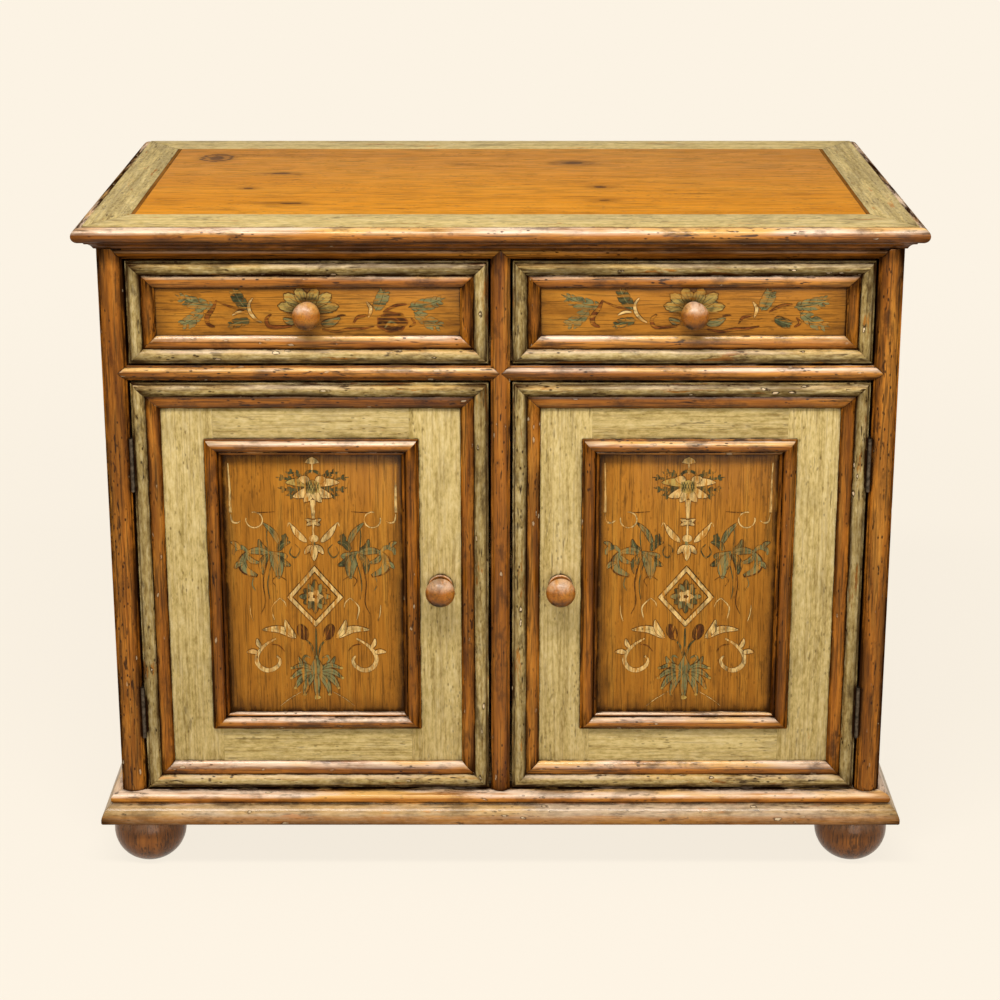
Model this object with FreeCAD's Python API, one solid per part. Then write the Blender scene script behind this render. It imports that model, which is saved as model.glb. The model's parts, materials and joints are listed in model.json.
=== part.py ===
"""Painted pine cabinet: two drawers over two doors, on a moulded plinth with bun feet.

Millimetres, +Z up, front towards -Y. The origin is on the floor, in the middle of the footprint.
Every piece is a separate solid. Each file in parts/ is one named piece or one group of like pieces.
"""

import FreeCAD
import Part
import math
import os

from FreeCAD import Vector

# Driving dimensions of the case
bay_width = 451.5            # clear opening between an outer stile and the centre stile
case_depth = 564.0           # face of the front frame to the back of the sides
door_opening_height = 557.0
drawer_opening_height = 136.0
reveal = 3.0                 # gap round every door and drawer front
overrun = 5.0                # how far every cutting tool passes its work
slide_clearance = 0.3        # between a moving piece and what it runs on or closes against

# Front frame
stile_width = 31.0
centre_stile_width = 24.0
frame_thickness = 24.0
drawer_rail_height = 19.0
frieze_height = 13.0         # the part of the top rail that shows below the bed moulding
crown_rise = 5.0             # swell of the rounded faces
crown_fillet = 2.6           # flat left beside each swell
crown_quirk = 1.0            # small upright edge of each swell
beak_depth = 11.0            # how far a pointed rail end laps on to a stile

# Plinth and feet
plinth_height = 40.0
plinth_reach = 26.0          # how far the toe stands out from the case
toe_round = 3.0
toe_height = 7.0
plinth_step_in = 14.0        # toe to the foot of the half-round
plinth_torus_height = 18.0
plinth_torus_swell = 3.2
plinth_quirk = 1.2
plinth_bead_height = 12.0
plinth_bead_swell = 3.4
plinth_bead_lean = 2.5
foot_height = 70.0
foot_radius = 47.5
foot_base_radius = 20.0
foot_neck_radius = 36.0
foot_widest_height = 42.0
foot_side_inset = 28.5       # foot centre to the side of the case
foot_front_inset = 35.5      # foot centre to the front and to the back of the case
foot_dowel_radius = 7.5
foot_dowel_length = 22.0
foot_block_size = 80.0

# Top
top_thickness = 20.0
top_overhang = 26.0
top_back_overhang = 10.0
top_front_border = 73.0
top_back_border = 66.0
top_side_border = 49.0
inlay_width = 5.0
inlay_depth = 4.0
nosing_width = 12.0
nosing_flat = 2.6            # flat lip of the nosing beside the top
nosing_drop = 1.0            # the nosing lies this much lower than the top
bed_height = 10.0
bed_reach = 13.0
bed_foot = 3.0
bed_lip = 2.5
bed_cove_sag = 1.8

# Sides, back and inner boards
side_thickness = 20.0
side_stile_width = 62.0
side_top_rail = 66.0
side_bottom_rail = 96.0
side_panel_thickness = 8.0
side_panel_recess = 6.0
side_groove_depth = 8.0
back_thickness = 8.0
back_board_count = 5
floor_thickness = 18.0
floor_lip = 10.0             # the floor stands this much above the bottom rail and stops the doors
dust_thickness = 12.0
divider_thickness = 16.0
shelf_thickness = 18.0
shelf_setback = 36.0         # shelf edge behind the front frame
shelf_height_share = 0.5     # of the cupboard's clear height
shelf_side_gap = 0.5
shelf_pin_radius = 3.0
shelf_pin_bite = 11.0
shelf_pin_reach = 12.0
runner_base = 6.0
runner_width = 28.0
runner_wall_height = 24.0
runner_side_gap = 0.5

# Mouldings round the doors and drawer fronts
edge_fillet = 2.6
edge_width = 15.4
edge_rise = 6.2              # above the face of the case
edge_quirk = 1.0
bead_width = 17.0
bead_foot = 1.2              # upright inner edge of the bead

# Doors
door_thickness = 23.5        # face of the case to the back of the door
door_field_recess = 6.5      # flat field of the door behind the face of the case
door_stile_flat = 53.0       # flat field between the bead and the panel moulding
door_top_rail_flat = 40.0
door_bottom_rail_flat = 46.0
door_bead_swell = 3.0
door_panel_thickness = 7.0
door_panel_recess = 5.0      # panel behind the flat field
door_groove_depth = 9.0
panel_moulding_lap = 12.0    # part of the panel moulding that lies on the frame
panel_moulding_fillet = 2.5
panel_moulding_fillet_rise = 2.0
panel_moulding_torus = 14.0
panel_moulding_rise = 9.0
panel_moulding_bead = 5.0
panel_moulding_bead_rise = 1.8
panel_moulding_ledge = 0.6

# Drawers
drawer_front_thickness = 20.0
drawer_field_recess = 2.5    # flat field of the drawer front behind the face of the case
drawer_bead_swell = 3.6
drawer_side_thickness = 12.0
drawer_side_height = 112.0
drawer_side_length = 470.0
drawer_back_thickness = 12.0
drawer_bottom_thickness = 6.0
drawer_bottom_lift = 8.0
drawer_groove_depth = 5.0
dovetail_count = 4
dovetail_length = 13.0
dovetail_flare = 2.2
dovetail_neck_share = 0.55   # of the spacing of the tails

# Knobs
door_knob_radius = 18.7
door_knob_length = 40.5      # field to the front of the ball
door_knob_collar_radius = 14.5
door_knob_neck_radius = 11.0
door_knob_rise = 3.5         # above the middle of the door
drawer_knob_radius = 17.2
drawer_knob_length = 36.5
drawer_knob_collar_radius = 12.5
drawer_knob_neck_radius = 8.0
knob_ball_half_length = 14.5
knob_collar_height = 4.0
knob_collar_swell = 1.2
knob_neck_sag = 1.0
knob_tenon_radius = 5.0
knob_tenon_length = 14.0

# Hinges and catches
hinge_length = 70.0
hinge_end_distance = 72.0    # door end to the near end of the hinge
hinge_knuckle_count = 5
hinge_knuckle_radius = 2.6
hinge_knuckle_gap = 0.25
hinge_pin_radius = 1.2
hinge_pin_clearance = 0.05
hinge_leaf_thickness = 1.2
hinge_leaf_inset = 2.0       # leaf edge short of the back of the frame
hinge_stand_off = 0.15       # barrel clear of the frame's face
catch_width = 36.0
catch_height = 22.0
catch_depth = 20.0
strike_thickness = 0.8
strike_height = 13.0
strike_drop = 2.0            # strike below the top of the door

# Places that follow from the sizes above
half_case = stile_width + bay_width + centre_stile_width / 2
half_inside = half_case - side_thickness
front_reach = max(top_overhang, door_knob_length - door_field_recess,
                  drawer_knob_length - drawer_field_recess)
face_y = front_reach - (front_reach + case_depth + top_back_overhang) / 2
back_y = face_y + case_depth
inner_y = face_y + frame_thickness          # back of the front frame
back_board_y = back_y - back_thickness
base_z = foot_height
door_opening_z = base_z + plinth_height
rail_z = door_opening_z + door_opening_height
drawer_opening_z = rail_z + drawer_rail_height
frieze_z = drawer_opening_z + drawer_opening_height
bed_z = frieze_z + frieze_height
top_z = bed_z + bed_height
top_face_z = top_z + top_thickness
floor_top_z = door_opening_z + floor_lip
floor_z = floor_top_z - floor_thickness
runner_top_z = drawer_opening_z + reveal - slide_clearance
dust_top_z = runner_top_z - runner_base
dust_z = dust_top_z - dust_thickness
edge_total = edge_fillet + edge_width
panel_moulding_width = panel_moulding_fillet + panel_moulding_torus + panel_moulding_bead

X = Vector(1, 0, 0)
Y = Vector(0, 1, 0)
Z = Vector(0, 0, 1)
OUT = -Y                     # towards the viewer
SIDES = (("left", -1), ("right", 1))


# Shape helpers

def box(x0, x1, y0, y1, z0, z1):
    """A block between two corners; the x values may come in either order."""
    low, high = min(x0, x1), max(x0, x1)
    return Part.makeBox(high - low, y1 - y0, z1 - z0, Vector(low, y0, z0))


def bulge(start, end, rise):
    """An arc step to end that swells by rise to the left of the way from start to end."""
    du, dw = end[0] - start[0], end[1] - start[1]
    length = math.hypot(du, dw)
    middle = ((start[0] + end[0]) / 2 - dw / length * rise, (start[1] + end[1]) / 2 + du / length * rise)
    return middle, end


def section_face(steps, origin, across, out):
    """A face from an outline in (across, out). A step is a point, or a pair of points for an arc."""
    def place(point):
        return origin + across * point[0] + out * point[1]

    edges = []
    here = steps[0]
    for step in list(steps[1:]) + [steps[0]]:
        if isinstance(step[0], tuple):
            middle, end = step
            edges.append(Part.Arc(place(here), place(middle), place(end)).toShape())
        else:
            end = step
            edges.append(Part.makeLine(place(here), place(end)))
        here = end
    return Part.Face(Part.Wire(edges))


def bar(section, origin, along, across, out):
    """The section drawn out along a straight run."""
    return section_face(section, origin, across, out).extrude(along)


def prism(points, along):
    """A straight prism on a polygon."""
    return Part.Face(Part.makePolygon(list(points) + [points[0]])).extrude(along)


def mitred_strip(section, origin, along, across, out, width, reach, mitre_start, mitre_end):
    """A moulding run whose ends are mitred, or square where the flag is false."""
    length = along.Length
    unit = along / length
    low, high = -overrun, width + overrun
    start = (low, high) if mitre_start else (low, low)
    end = (length - low, length - high) if mitre_end else (length - low, length - low)
    places = ((start[0], low), (end[0], low), (end[1], high), (start[1], high))
    corners = [origin + unit * s + across * u - out * (reach + overrun) for s, u in places]
    keep = prism(corners, out * (reach + overrun) * 2)
    return bar(section, origin, along, across, out).common(keep)


def face_frame(section, x0, x1, z0, z1, y, width, reach):
    """Four mitred strips round a rectangle on the front, section measured in from its edge."""
    runs = (
        (Vector(x0, y, z0), X * (x1 - x0), Z),
        (Vector(x1, y, z0), Z * (z1 - z0), -X),
        (Vector(x1, y, z1), -X * (x1 - x0), -Z),
        (Vector(x0, y, z1), -Z * (z1 - z0), X),
    )
    return [mitred_strip(section, origin, along, across, OUT, width, reach, True, True)
            for origin, along, across in runs]


def case_moulding(section, reach, z, width, height, end_y):
    """Three strips round the front and sides of the case, mitred at the front corners."""
    x1 = half_case + reach
    y0 = face_y - reach
    runs = (
        (Vector(-x1, y0, z), X * (2 * x1), Y, True, True),
        (Vector(x1, y0, z), Y * (end_y - y0), -X, True, False),
        (Vector(-x1, end_y, z), -Y * (end_y - y0), X, False, True),
    )
    return [mitred_strip(section, origin, along, across, Z, width, height, mitre_start, mitre_end)
            for origin, along, across, mitre_start, mitre_end in runs]


def turned(section, origin, axis):
    """The section, in (radius, distance along the axis), turned about the axis."""
    radial = X if abs(axis.dot(X)) < 1 / 2 else Z
    return section_face(section, origin, radial, axis).revolve(origin, axis, 360)


def save(name, *solids):
    """Writes one piece, or a group of like pieces, to its own file."""
    shape = solids[0] if len(solids) == 1 else Part.makeCompound(list(solids))
    shape.exportStep(os.path.join("parts", name + ".step"))


# Sections

def swell_section(start, width, rise, quirk):
    """A rounded bead standing on a flat face."""
    left, right = (start, quirk), (start + width, quirk)
    return [(start, 0), left, bulge(left, right, rise - quirk), (start + width, 0)]


def crown_section(width):
    """The swell of a frame member, with a flat beside it at each edge."""
    return swell_section(crown_fillet, width - 2 * crown_fillet, crown_rise, crown_quirk)


def edge_section(recess):
    """Half-round on a square base that brings it up from a recessed field to the face of the case."""
    left, right = (edge_fillet, recess + edge_quirk), (edge_total, recess + edge_quirk)
    return [(0, 0), (0, recess), (edge_fillet, recess), left, bulge(left, right, edge_rise - edge_quirk),
            (edge_total, 0)]


def bead_section(recess, swell):
    """Bead that falls from the edge moulding to the field inside it."""
    high, low = (0, recess), (bead_width, bead_foot)
    return [(0, 0), high, bulge(high, low, swell), (bead_width, 0)]


def front_trim(name, x0, x1, z0, z1, recess, swell):
    """The painted edge moulding and the stained bead round one door or drawer front."""
    y = face_y + recess
    save(name + "_edge_moulding", *face_frame(edge_section(recess), x0, x1, z0, z1, y,
                                              edge_total, recess + edge_rise))
    save(name + "_bead", *face_frame(bead_section(recess, swell), x0 + edge_total, x1 - edge_total,
                                     z0 + edge_total, z1 - edge_total, y, bead_width, recess + swell))


def panel_moulding_section():
    """Bolection moulding: outer fillet, torus, small inner bead, stepped back over the panel."""
    fillet = (panel_moulding_fillet, panel_moulding_fillet_rise)
    torus_end = (panel_moulding_fillet + panel_moulding_torus, panel_moulding_ledge)
    inner = (panel_moulding_width, panel_moulding_ledge)
    torus_swell = panel_moulding_rise - (fillet[1] + torus_end[1]) / 2
    return [
        (0, 0), (0, panel_moulding_fillet_rise), fillet,
        bulge(fillet, torus_end, torus_swell),
        bulge(torus_end, inner, panel_moulding_bead_rise),
        (panel_moulding_width, -door_panel_recess),
        (panel_moulding_lap, -door_panel_recess), (panel_moulding_lap, 0),
    ]


def nosing_section():
    """Half-round edge of the top, flat against the border."""
    low = (nosing_width - nosing_flat, 0)
    high = (nosing_width - nosing_flat, top_thickness - nosing_drop)
    return [(nosing_width, 0), low, bulge(low, high, low[0]), (nosing_width, high[1])]


def bed_section():
    """Small cove under the top."""
    foot = (bed_reach - bed_foot, 0)
    lip = (0, bed_height - bed_lip)
    return [(bed_reach, 0), foot, bulge(foot, lip, -bed_cove_sag), (0, bed_height), (bed_reach, bed_height)]


def plinth_section():
    """Plinth from the floor side up: rounded toe, torus, quirk, half-round, ledge under the stiles."""
    toe_low, toe_side = (toe_round, 0), (0, toe_round)
    torus_low = (0, toe_height)
    torus_high = (plinth_step_in, toe_height + plinth_torus_height)
    bead_low = (plinth_step_in, torus_high[1] + plinth_quirk)
    bead_high = (plinth_step_in + plinth_bead_lean, bead_low[1] + plinth_bead_height)
    shoulder = (plinth_reach, plinth_height)
    toe_swell = toe_round * (1 - math.sqrt(1 / 2)) / math.sqrt(2)
    return [
        (plinth_reach, 0), toe_low, bulge(toe_low, toe_side, toe_swell), torus_low,
        bulge(torus_low, torus_high, plinth_torus_swell), bead_low,
        bulge(bead_low, bead_high, plinth_bead_swell), shoulder,
    ]


# Top

def make_top():
    """Stained panel in a mitred painted border, with inlaid lines at the ends and a half-round nosing."""
    x1 = half_case + top_overhang - nosing_width
    y0 = face_y - top_overhang + nosing_width
    y1 = back_y + top_back_overhang
    panel_x = x1 - top_side_border
    panel_y0, panel_y1 = y0 + top_front_border, y1 - top_back_border

    def border(points):
        return prism([Vector(x, y, top_z) for x, y in points], Z * top_thickness)

    front = border([(-x1, y0), (x1, y0), (panel_x, panel_y0), (-panel_x, panel_y0)])
    back = border([(-x1, y1), (x1, y1), (panel_x, panel_y1), (-panel_x, panel_y1)])
    ends = [border([(s * x1, y0), (s * x1, y1), (s * panel_x, panel_y1), (s * panel_x, panel_y0)])
            for _, s in SIDES]
    inlays = [box(s * (panel_x - inlay_width), s * panel_x, panel_y0, panel_y1,
                  top_face_z - inlay_depth, top_face_z) for _, s in SIDES]
    panel = box(-panel_x, panel_x, panel_y0, panel_y1, top_z, top_face_z)
    for inlay in inlays:
        panel = panel.cut(inlay)
    save("top_panel", panel)
    save("top_rails", front, back)
    save("top_ends", *ends)
    save("top_inlay_lines", *inlays)
    nosing = case_moulding(nosing_section(), top_overhang, top_z, nosing_width, top_thickness, y1)
    save("top_nosing", *nosing)
    bed = case_moulding(bed_section(), bed_reach, bed_z, bed_reach, bed_height, back_y)
    save("bed_moulding", *bed)


# Front frame

def upright(x0, x1, z0, z1, crown_z0, crown_z1, notches):
    """A stile: square body, with a rounded swell on its face that is notched for its neighbours."""
    body = box(x0, x1, face_y, inner_y, z0, z1)
    swell = bar(crown_section(x1 - x0), Vector(x0, face_y, crown_z0), Z * (crown_z1 - crown_z0), X, OUT)
    for notch in notches:
        swell = swell.cut(notch)
    return body.fuse(swell).removeSplitter()


def beak(points):
    """A prism in front of the frame's face, on a polygon in (x, z)."""
    return prism([Vector(x, face_y, z) for x, z in points], OUT * (crown_rise + overrun))


def rail_outline(x0, x1):
    """Outline of a drawer rail's swell: pointed at both ends, where it laps on to the stiles."""
    middle = rail_z + drawer_rail_height / 2
    return [(x0, rail_z), (x1, rail_z), (x1 + beak_depth, middle), (x1, drawer_opening_z),
            (x0, drawer_opening_z), (x0 - beak_depth, middle)]


def make_front_frame(plinth):
    """Stiles, drawer rails, frieze and bottom rail, with mitred and pointed swells."""
    bay_in = centre_stile_width / 2
    bay_out = bay_in + bay_width
    half_centre = centre_stile_width / 2
    bays = {"left": (-bay_out, -bay_in), "right": (bay_in, bay_out)}
    rail_beaks = {name: beak(rail_outline(*bay)) for name, bay in bays.items()}

    frieze_top = [(-bay_out, frieze_z), (bay_out, frieze_z),
                  (bay_out + frieze_height, bed_z), (-bay_out - frieze_height, bed_z)]
    frieze_mitre = beak(frieze_top)
    centre_top = [(-half_centre, frieze_z), (half_centre, frieze_z), (0, frieze_z + beak_depth)]
    centre_point = beak(centre_top)
    centre_shape = beak([(-half_centre, base_z), (half_centre, base_z), (half_centre, frieze_z),
                         (0, frieze_z + beak_depth), (-half_centre, frieze_z)])

    for name, s in SIDES:
        x0, x1 = sorted((s * half_case, s * bay_out))
        notches = [rail_beaks[name], frieze_mitre, plinth]
        save(name + "_stile", upright(x0, x1, base_z, top_z, base_z, bed_z, notches))

    centre_body = box(-half_centre, half_centre, face_y, inner_y, door_opening_z, frieze_z)
    centre_swell = bar(crown_section(centre_stile_width), Vector(-half_centre, face_y, base_z),
                       Z * (bed_z - base_z), X, OUT)
    centre_swell = centre_swell.common(centre_shape).cut(plinth)
    for rail_beak in rail_beaks.values():
        centre_swell = centre_swell.cut(rail_beak)
    save("centre_stile", centre_body.fuse(centre_swell).removeSplitter())

    for name, (x0, x1) in bays.items():
        body = box(x0, x1, face_y, inner_y, rail_z, drawer_opening_z)
        swell = bar(crown_section(drawer_rail_height), Vector(x0 - beak_depth, face_y, rail_z),
                    X * (x1 - x0 + 2 * beak_depth), Z, OUT)
        rail = body.fuse(swell.common(rail_beaks[name])).removeSplitter()
        save(name + "_drawer_rail", rail)

    frieze_body = box(-bay_out, bay_out, face_y, inner_y, frieze_z, top_z)
    frieze_swell = bar(crown_section(frieze_height), Vector(-half_case, face_y, frieze_z),
                       X * (2 * half_case), Z, OUT)
    frieze_swell = frieze_swell.common(frieze_mitre).cut(centre_point)
    save("frieze_rail", frieze_body.fuse(frieze_swell).removeSplitter())
    save("bottom_rail", box(-bay_out, bay_out, face_y, inner_y, base_z, door_opening_z))


# Case sides, back and inner boards

def make_sides():
    """Framed side panels: two stiles and two rails grooved round a flat panel."""
    panel_y0 = inner_y + side_stile_width
    panel_y1 = back_y - side_stile_width
    panel_z0 = base_z + side_bottom_rail
    panel_z1 = top_z - side_top_rail
    pins = []
    for name, s in SIDES:
        outer, inner = s * half_case, s * half_inside
        panel_outer = s * (half_case - side_panel_recess)
        panel_inner = s * (half_case - side_panel_recess - side_panel_thickness)
        grow = side_groove_depth
        panel = box(panel_outer, panel_inner, panel_y0 - grow, panel_y1 + grow,
                    panel_z0 - grow, panel_z1 + grow)
        members = [
            box(outer, inner, inner_y, panel_y0, base_z, top_z),
            box(outer, inner, panel_y1, back_y, base_z, top_z),
            box(outer, inner, panel_y0, panel_y1, base_z, panel_z0),
            box(outer, inner, panel_y0, panel_y1, panel_z1, top_z),
        ]
        side_pins = make_shelf_pins(s)
        for tool in [panel] + side_pins:
            members = [member.cut(tool) for member in members]
        pins += side_pins
        save(name + "_side_frame", *members)
        save(name + "_side_panel", panel)
    save("shelf_pins", *pins)


def shelf_bottom_z():
    """Height of the underside of the shelf."""
    return floor_top_z + (dust_z - floor_top_z) * shelf_height_share


def make_shelf_pins(s):
    """Two pins in one side, under the shelf."""
    z = shelf_bottom_z() - shelf_pin_radius
    places = (inner_y + side_stile_width / 2 + shelf_setback / 2, back_y - side_stile_width / 2)
    start = s * (half_inside + shelf_pin_bite)
    return [Part.makeCylinder(shelf_pin_radius, shelf_pin_bite + shelf_pin_reach, Vector(start, y, z), X * -s)
            for y in places]


def make_inner_boards():
    """Floor, dust board, drawer divider, shelf, back boards and drawer runners."""
    inside = (-half_inside, half_inside)
    save("cabinet_floor", box(*inside, inner_y, back_board_y, floor_z, floor_top_z))
    save("dust_board", box(*inside, inner_y, back_board_y, dust_z, dust_top_z))
    half_divider = divider_thickness / 2
    save("drawer_divider", box(-half_divider, half_divider, inner_y, back_board_y, dust_top_z, top_z))
    shelf_x = half_inside - shelf_side_gap
    shelf_z = shelf_bottom_z()
    save("shelf", box(-shelf_x, shelf_x, inner_y + shelf_setback, back_board_y - shelf_side_gap,
                      shelf_z, shelf_z + shelf_thickness))
    board = 2 * half_inside / back_board_count
    edges = [-half_inside + board * n for n in range(back_board_count + 1)]
    boards = [box(x0, x1, back_board_y, back_y, base_z, top_z) for x0, x1 in zip(edges, edges[1:])]
    save("back_boards", *boards)

    runners = []
    for _, s in SIDES:
        drawer_out = centre_stile_width / 2 + bay_width - reveal + runner_side_gap
        drawer_in = centre_stile_width / 2 + reveal - runner_side_gap
        for back, wall, way in ((half_inside, drawer_out, -1), (half_divider, drawer_in, 1)):
            base = box(s * back, s * (back + way * runner_width), inner_y, back_board_y,
                       dust_top_z, runner_top_z)
            guide = box(s * back, s * wall, inner_y, back_board_y,
                        runner_top_z, runner_top_z + runner_wall_height)
            runners.append(base.fuse(guide).removeSplitter())
    save("drawer_runners", *runners)


# Plinth and feet

def make_base():
    """Plinth moulding, corner blocks under the floor and turned feet. Returns the plinth's front strip."""
    strips = case_moulding(plinth_section(), plinth_reach, base_z, plinth_reach, plinth_height, back_y)
    save("plinth_moulding", *strips)
    blocks = []
    feet = []
    foot_section = [
        (0, 0), (foot_base_radius, 0),
        ((foot_radius, foot_widest_height), (foot_neck_radius, foot_height)),
        (foot_dowel_radius, foot_height), (foot_dowel_radius, foot_height + foot_dowel_length),
        (0, foot_height + foot_dowel_length),
    ]
    for _, s in SIDES:
        rows = ((face_y + foot_front_inset, inner_y),
                (back_y - foot_front_inset, back_board_y - foot_block_size))
        for foot_y, block_y in rows:
            foot = turned(foot_section, Vector(s * (half_case - foot_side_inset), foot_y, 0), Z)
            block = box(s * half_inside, s * (half_inside - foot_block_size),
                        block_y, block_y + foot_block_size, base_z, floor_z)
            feet.append(foot)
            blocks.append(block.cut(foot))
    save("foot_blocks", *blocks)
    save("bun_feet", *feet)
    return strips[0]


# Knobs

def make_knob(ball_radius, collar_radius, neck_radius, length, x, y, z):
    """A turned ball knob on the field at y, with a collar, a waisted neck and a tenon in the wood."""
    neck_start = (neck_radius, knob_collar_height)
    ball_centre = length - knob_ball_half_length
    angle = math.acos(neck_radius / ball_radius)
    ball_start = (neck_radius, ball_centre - knob_ball_half_length * math.sin(angle))
    origin = Vector(x, y, z)

    def place(radius, along):
        return origin + X * radius + OUT * along

    collar_low, collar_high = (collar_radius, 0), (collar_radius, knob_collar_height)
    stem = [
        (0, -knob_tenon_length), (knob_tenon_radius, -knob_tenon_length), (knob_tenon_radius, 0),
        collar_low, bulge(collar_low, collar_high, -knob_collar_swell), neck_start,
        bulge(neck_start, ball_start, knob_neck_sag), (0, ball_start[1]),
    ]
    ellipse = Part.Ellipse(place(ball_radius, ball_centre), place(0, length), place(0, ball_centre))
    arc = Part.ArcOfEllipse(ellipse, -angle, math.pi / 2).toShape()
    start, end = place(*ball_start), place(0, length)
    foot = place(0, ball_start[1])
    wire = Part.Wire([arc, Part.makeLine(end, foot), Part.makeLine(foot, start)])
    ball = Part.Face(wire).revolve(origin, OUT, 360)
    return turned(stem, origin, OUT).fuse(ball).removeSplitter()


# Doors

def make_door(name, s, hinge_leaves):
    """One door: grooved frame, flat panel, three mitred mouldings, knob, hinge leaves and strike."""
    inner_x = s * (centre_stile_width / 2 + reveal)
    outer_x = s * (centre_stile_width / 2 + bay_width - reveal)
    x0, x1 = sorted((inner_x, outer_x))
    z0, z1 = door_opening_z + reveal, rail_z - reveal
    trim = edge_total + bead_width
    mx = trim + door_stile_flat
    mz0, mz1 = z0 + trim + door_bottom_rail_flat, z1 - trim - door_top_rail_flat
    lap = panel_moulding_lap
    px0, px1, pz0, pz1 = x0 + mx + lap, x1 - mx - lap, mz0 + lap, mz1 - lap
    field_y = face_y + door_field_recess
    back = face_y + door_thickness
    panel_y = field_y + door_panel_recess
    grow = door_groove_depth
    panel = box(px0 - grow, px1 + grow, panel_y, panel_y + door_panel_thickness, pz0 - grow, pz1 + grow)
    tenons = [box(px0 - grow, px1 + grow, panel_y, panel_y + door_panel_thickness, low, high)
              for low, high in ((z0 + trim, pz0 - grow), (pz1 + grow, z1 - trim))]
    stiles = [box(x0, px0, field_y, back, z0, z1), box(px1, x1, field_y, back, z0, z1)]
    rails = [box(px0, px1, field_y, back, low, high) for low, high in ((z0, pz0), (pz1, z1))]
    knob_x = inner_x + s * (trim + door_stile_flat / 2)
    knob_z = (z0 + z1) / 2 + door_knob_rise
    knob = make_knob(door_knob_radius, door_knob_collar_radius, door_knob_neck_radius, door_knob_length,
                     knob_x, field_y, knob_z)
    stiles = [member.cut(panel).cut(tenons[0]).cut(tenons[1]).cut(knob) for member in stiles]
    rails = [member.cut(panel).fuse(tenon).removeSplitter() for member, tenon in zip(rails, tenons)]
    save(name + "_door_frame", *stiles, *rails)
    save(name + "_door_panel", panel)
    save(name + "_door_knob", knob)

    front_trim(name + "_door", x0, x1, z0, z1, door_field_recess, door_bead_swell)
    save(name + "_door_panel_moulding", *face_frame(
        panel_moulding_section(), x0 + mx, x1 - mx, mz0, mz1, field_y,
        panel_moulding_width, panel_moulding_rise + door_panel_recess))
    save(name + "_door_hinge_leaves", *hinge_leaves)

    strike_x = inner_x + s * trim
    strike_top = z1 - strike_drop
    save(name + "_door_strike", box(strike_x, strike_x + s * catch_width, back, back + strike_thickness,
                                    strike_top - strike_height, strike_top))
    catch_y = back + strike_thickness + slide_clearance
    return box(strike_x, strike_x + s * catch_width, catch_y, catch_y + catch_depth,
               dust_z - catch_height, dust_z)


# Hinges

def make_hinge(s, z):
    """One butt hinge with its pin upright in the reveal. Returns frame leaf, door leaf and pin."""
    edge = s * (centre_stile_width / 2 + bay_width)
    axis_x = edge - s * reveal / 2
    axis_y = face_y - hinge_knuckle_radius - hinge_stand_off
    leaf_end = inner_y - hinge_leaf_inset
    pitch = hinge_length / hinge_knuckle_count
    bore = Part.makeCylinder(hinge_pin_radius + hinge_pin_clearance, hinge_length + 2 * overrun,
                             Vector(axis_x, axis_y, z - overrun))
    leaves = []
    for first, x_near in ((0, edge), (1, edge - s * reveal)):
        way = -s if first == 0 else s
        plate = box(x_near, x_near + way * hinge_leaf_thickness, axis_y, leaf_end, z, z + hinge_length)
        own = []
        for n in range(hinge_knuckle_count):
            low = z + n * pitch + (hinge_knuckle_gap / 2 if n else 0)
            high = z + (n + 1) * pitch - (hinge_knuckle_gap / 2 if n + 1 < hinge_knuckle_count else 0)
            if n % 2 == first:
                own.append(Part.makeCylinder(hinge_knuckle_radius, high - low, Vector(axis_x, axis_y, low)))
            else:
                room = hinge_knuckle_radius + hinge_knuckle_gap
                plate = plate.cut(Part.makeCylinder(room, pitch + hinge_knuckle_gap,
                                                    Vector(axis_x, axis_y, low - hinge_knuckle_gap)))
        leaf = plate.multiFuse(own).removeSplitter().cut(bore)
        leaves.append(leaf)
    pin = Part.makeCylinder(hinge_pin_radius, hinge_length, Vector(axis_x, axis_y, z))
    return leaves[0], leaves[1], pin


# Drawers

def drawer_side(x0, x1, z0, y0):
    """A drawer side whose front end is cut into dovetails."""
    z1 = z0 + drawer_side_height
    spacing = drawer_side_height / dovetail_count
    neck = spacing * dovetail_neck_share / 2
    points = [(y0 + drawer_side_length, z0), (y0 + drawer_side_length, z1), (y0, z1)]
    for n in reversed(range(dovetail_count)):
        middle = z0 + spacing * (n + 1 / 2)
        points += [(y0, middle + neck), (y0 - dovetail_length, middle + neck + dovetail_flare),
                   (y0 - dovetail_length, middle - neck - dovetail_flare), (y0, middle - neck)]
    points.append((y0, z0))
    return prism([Vector(x0, y, z) for y, z in points], X * (x1 - x0))


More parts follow.
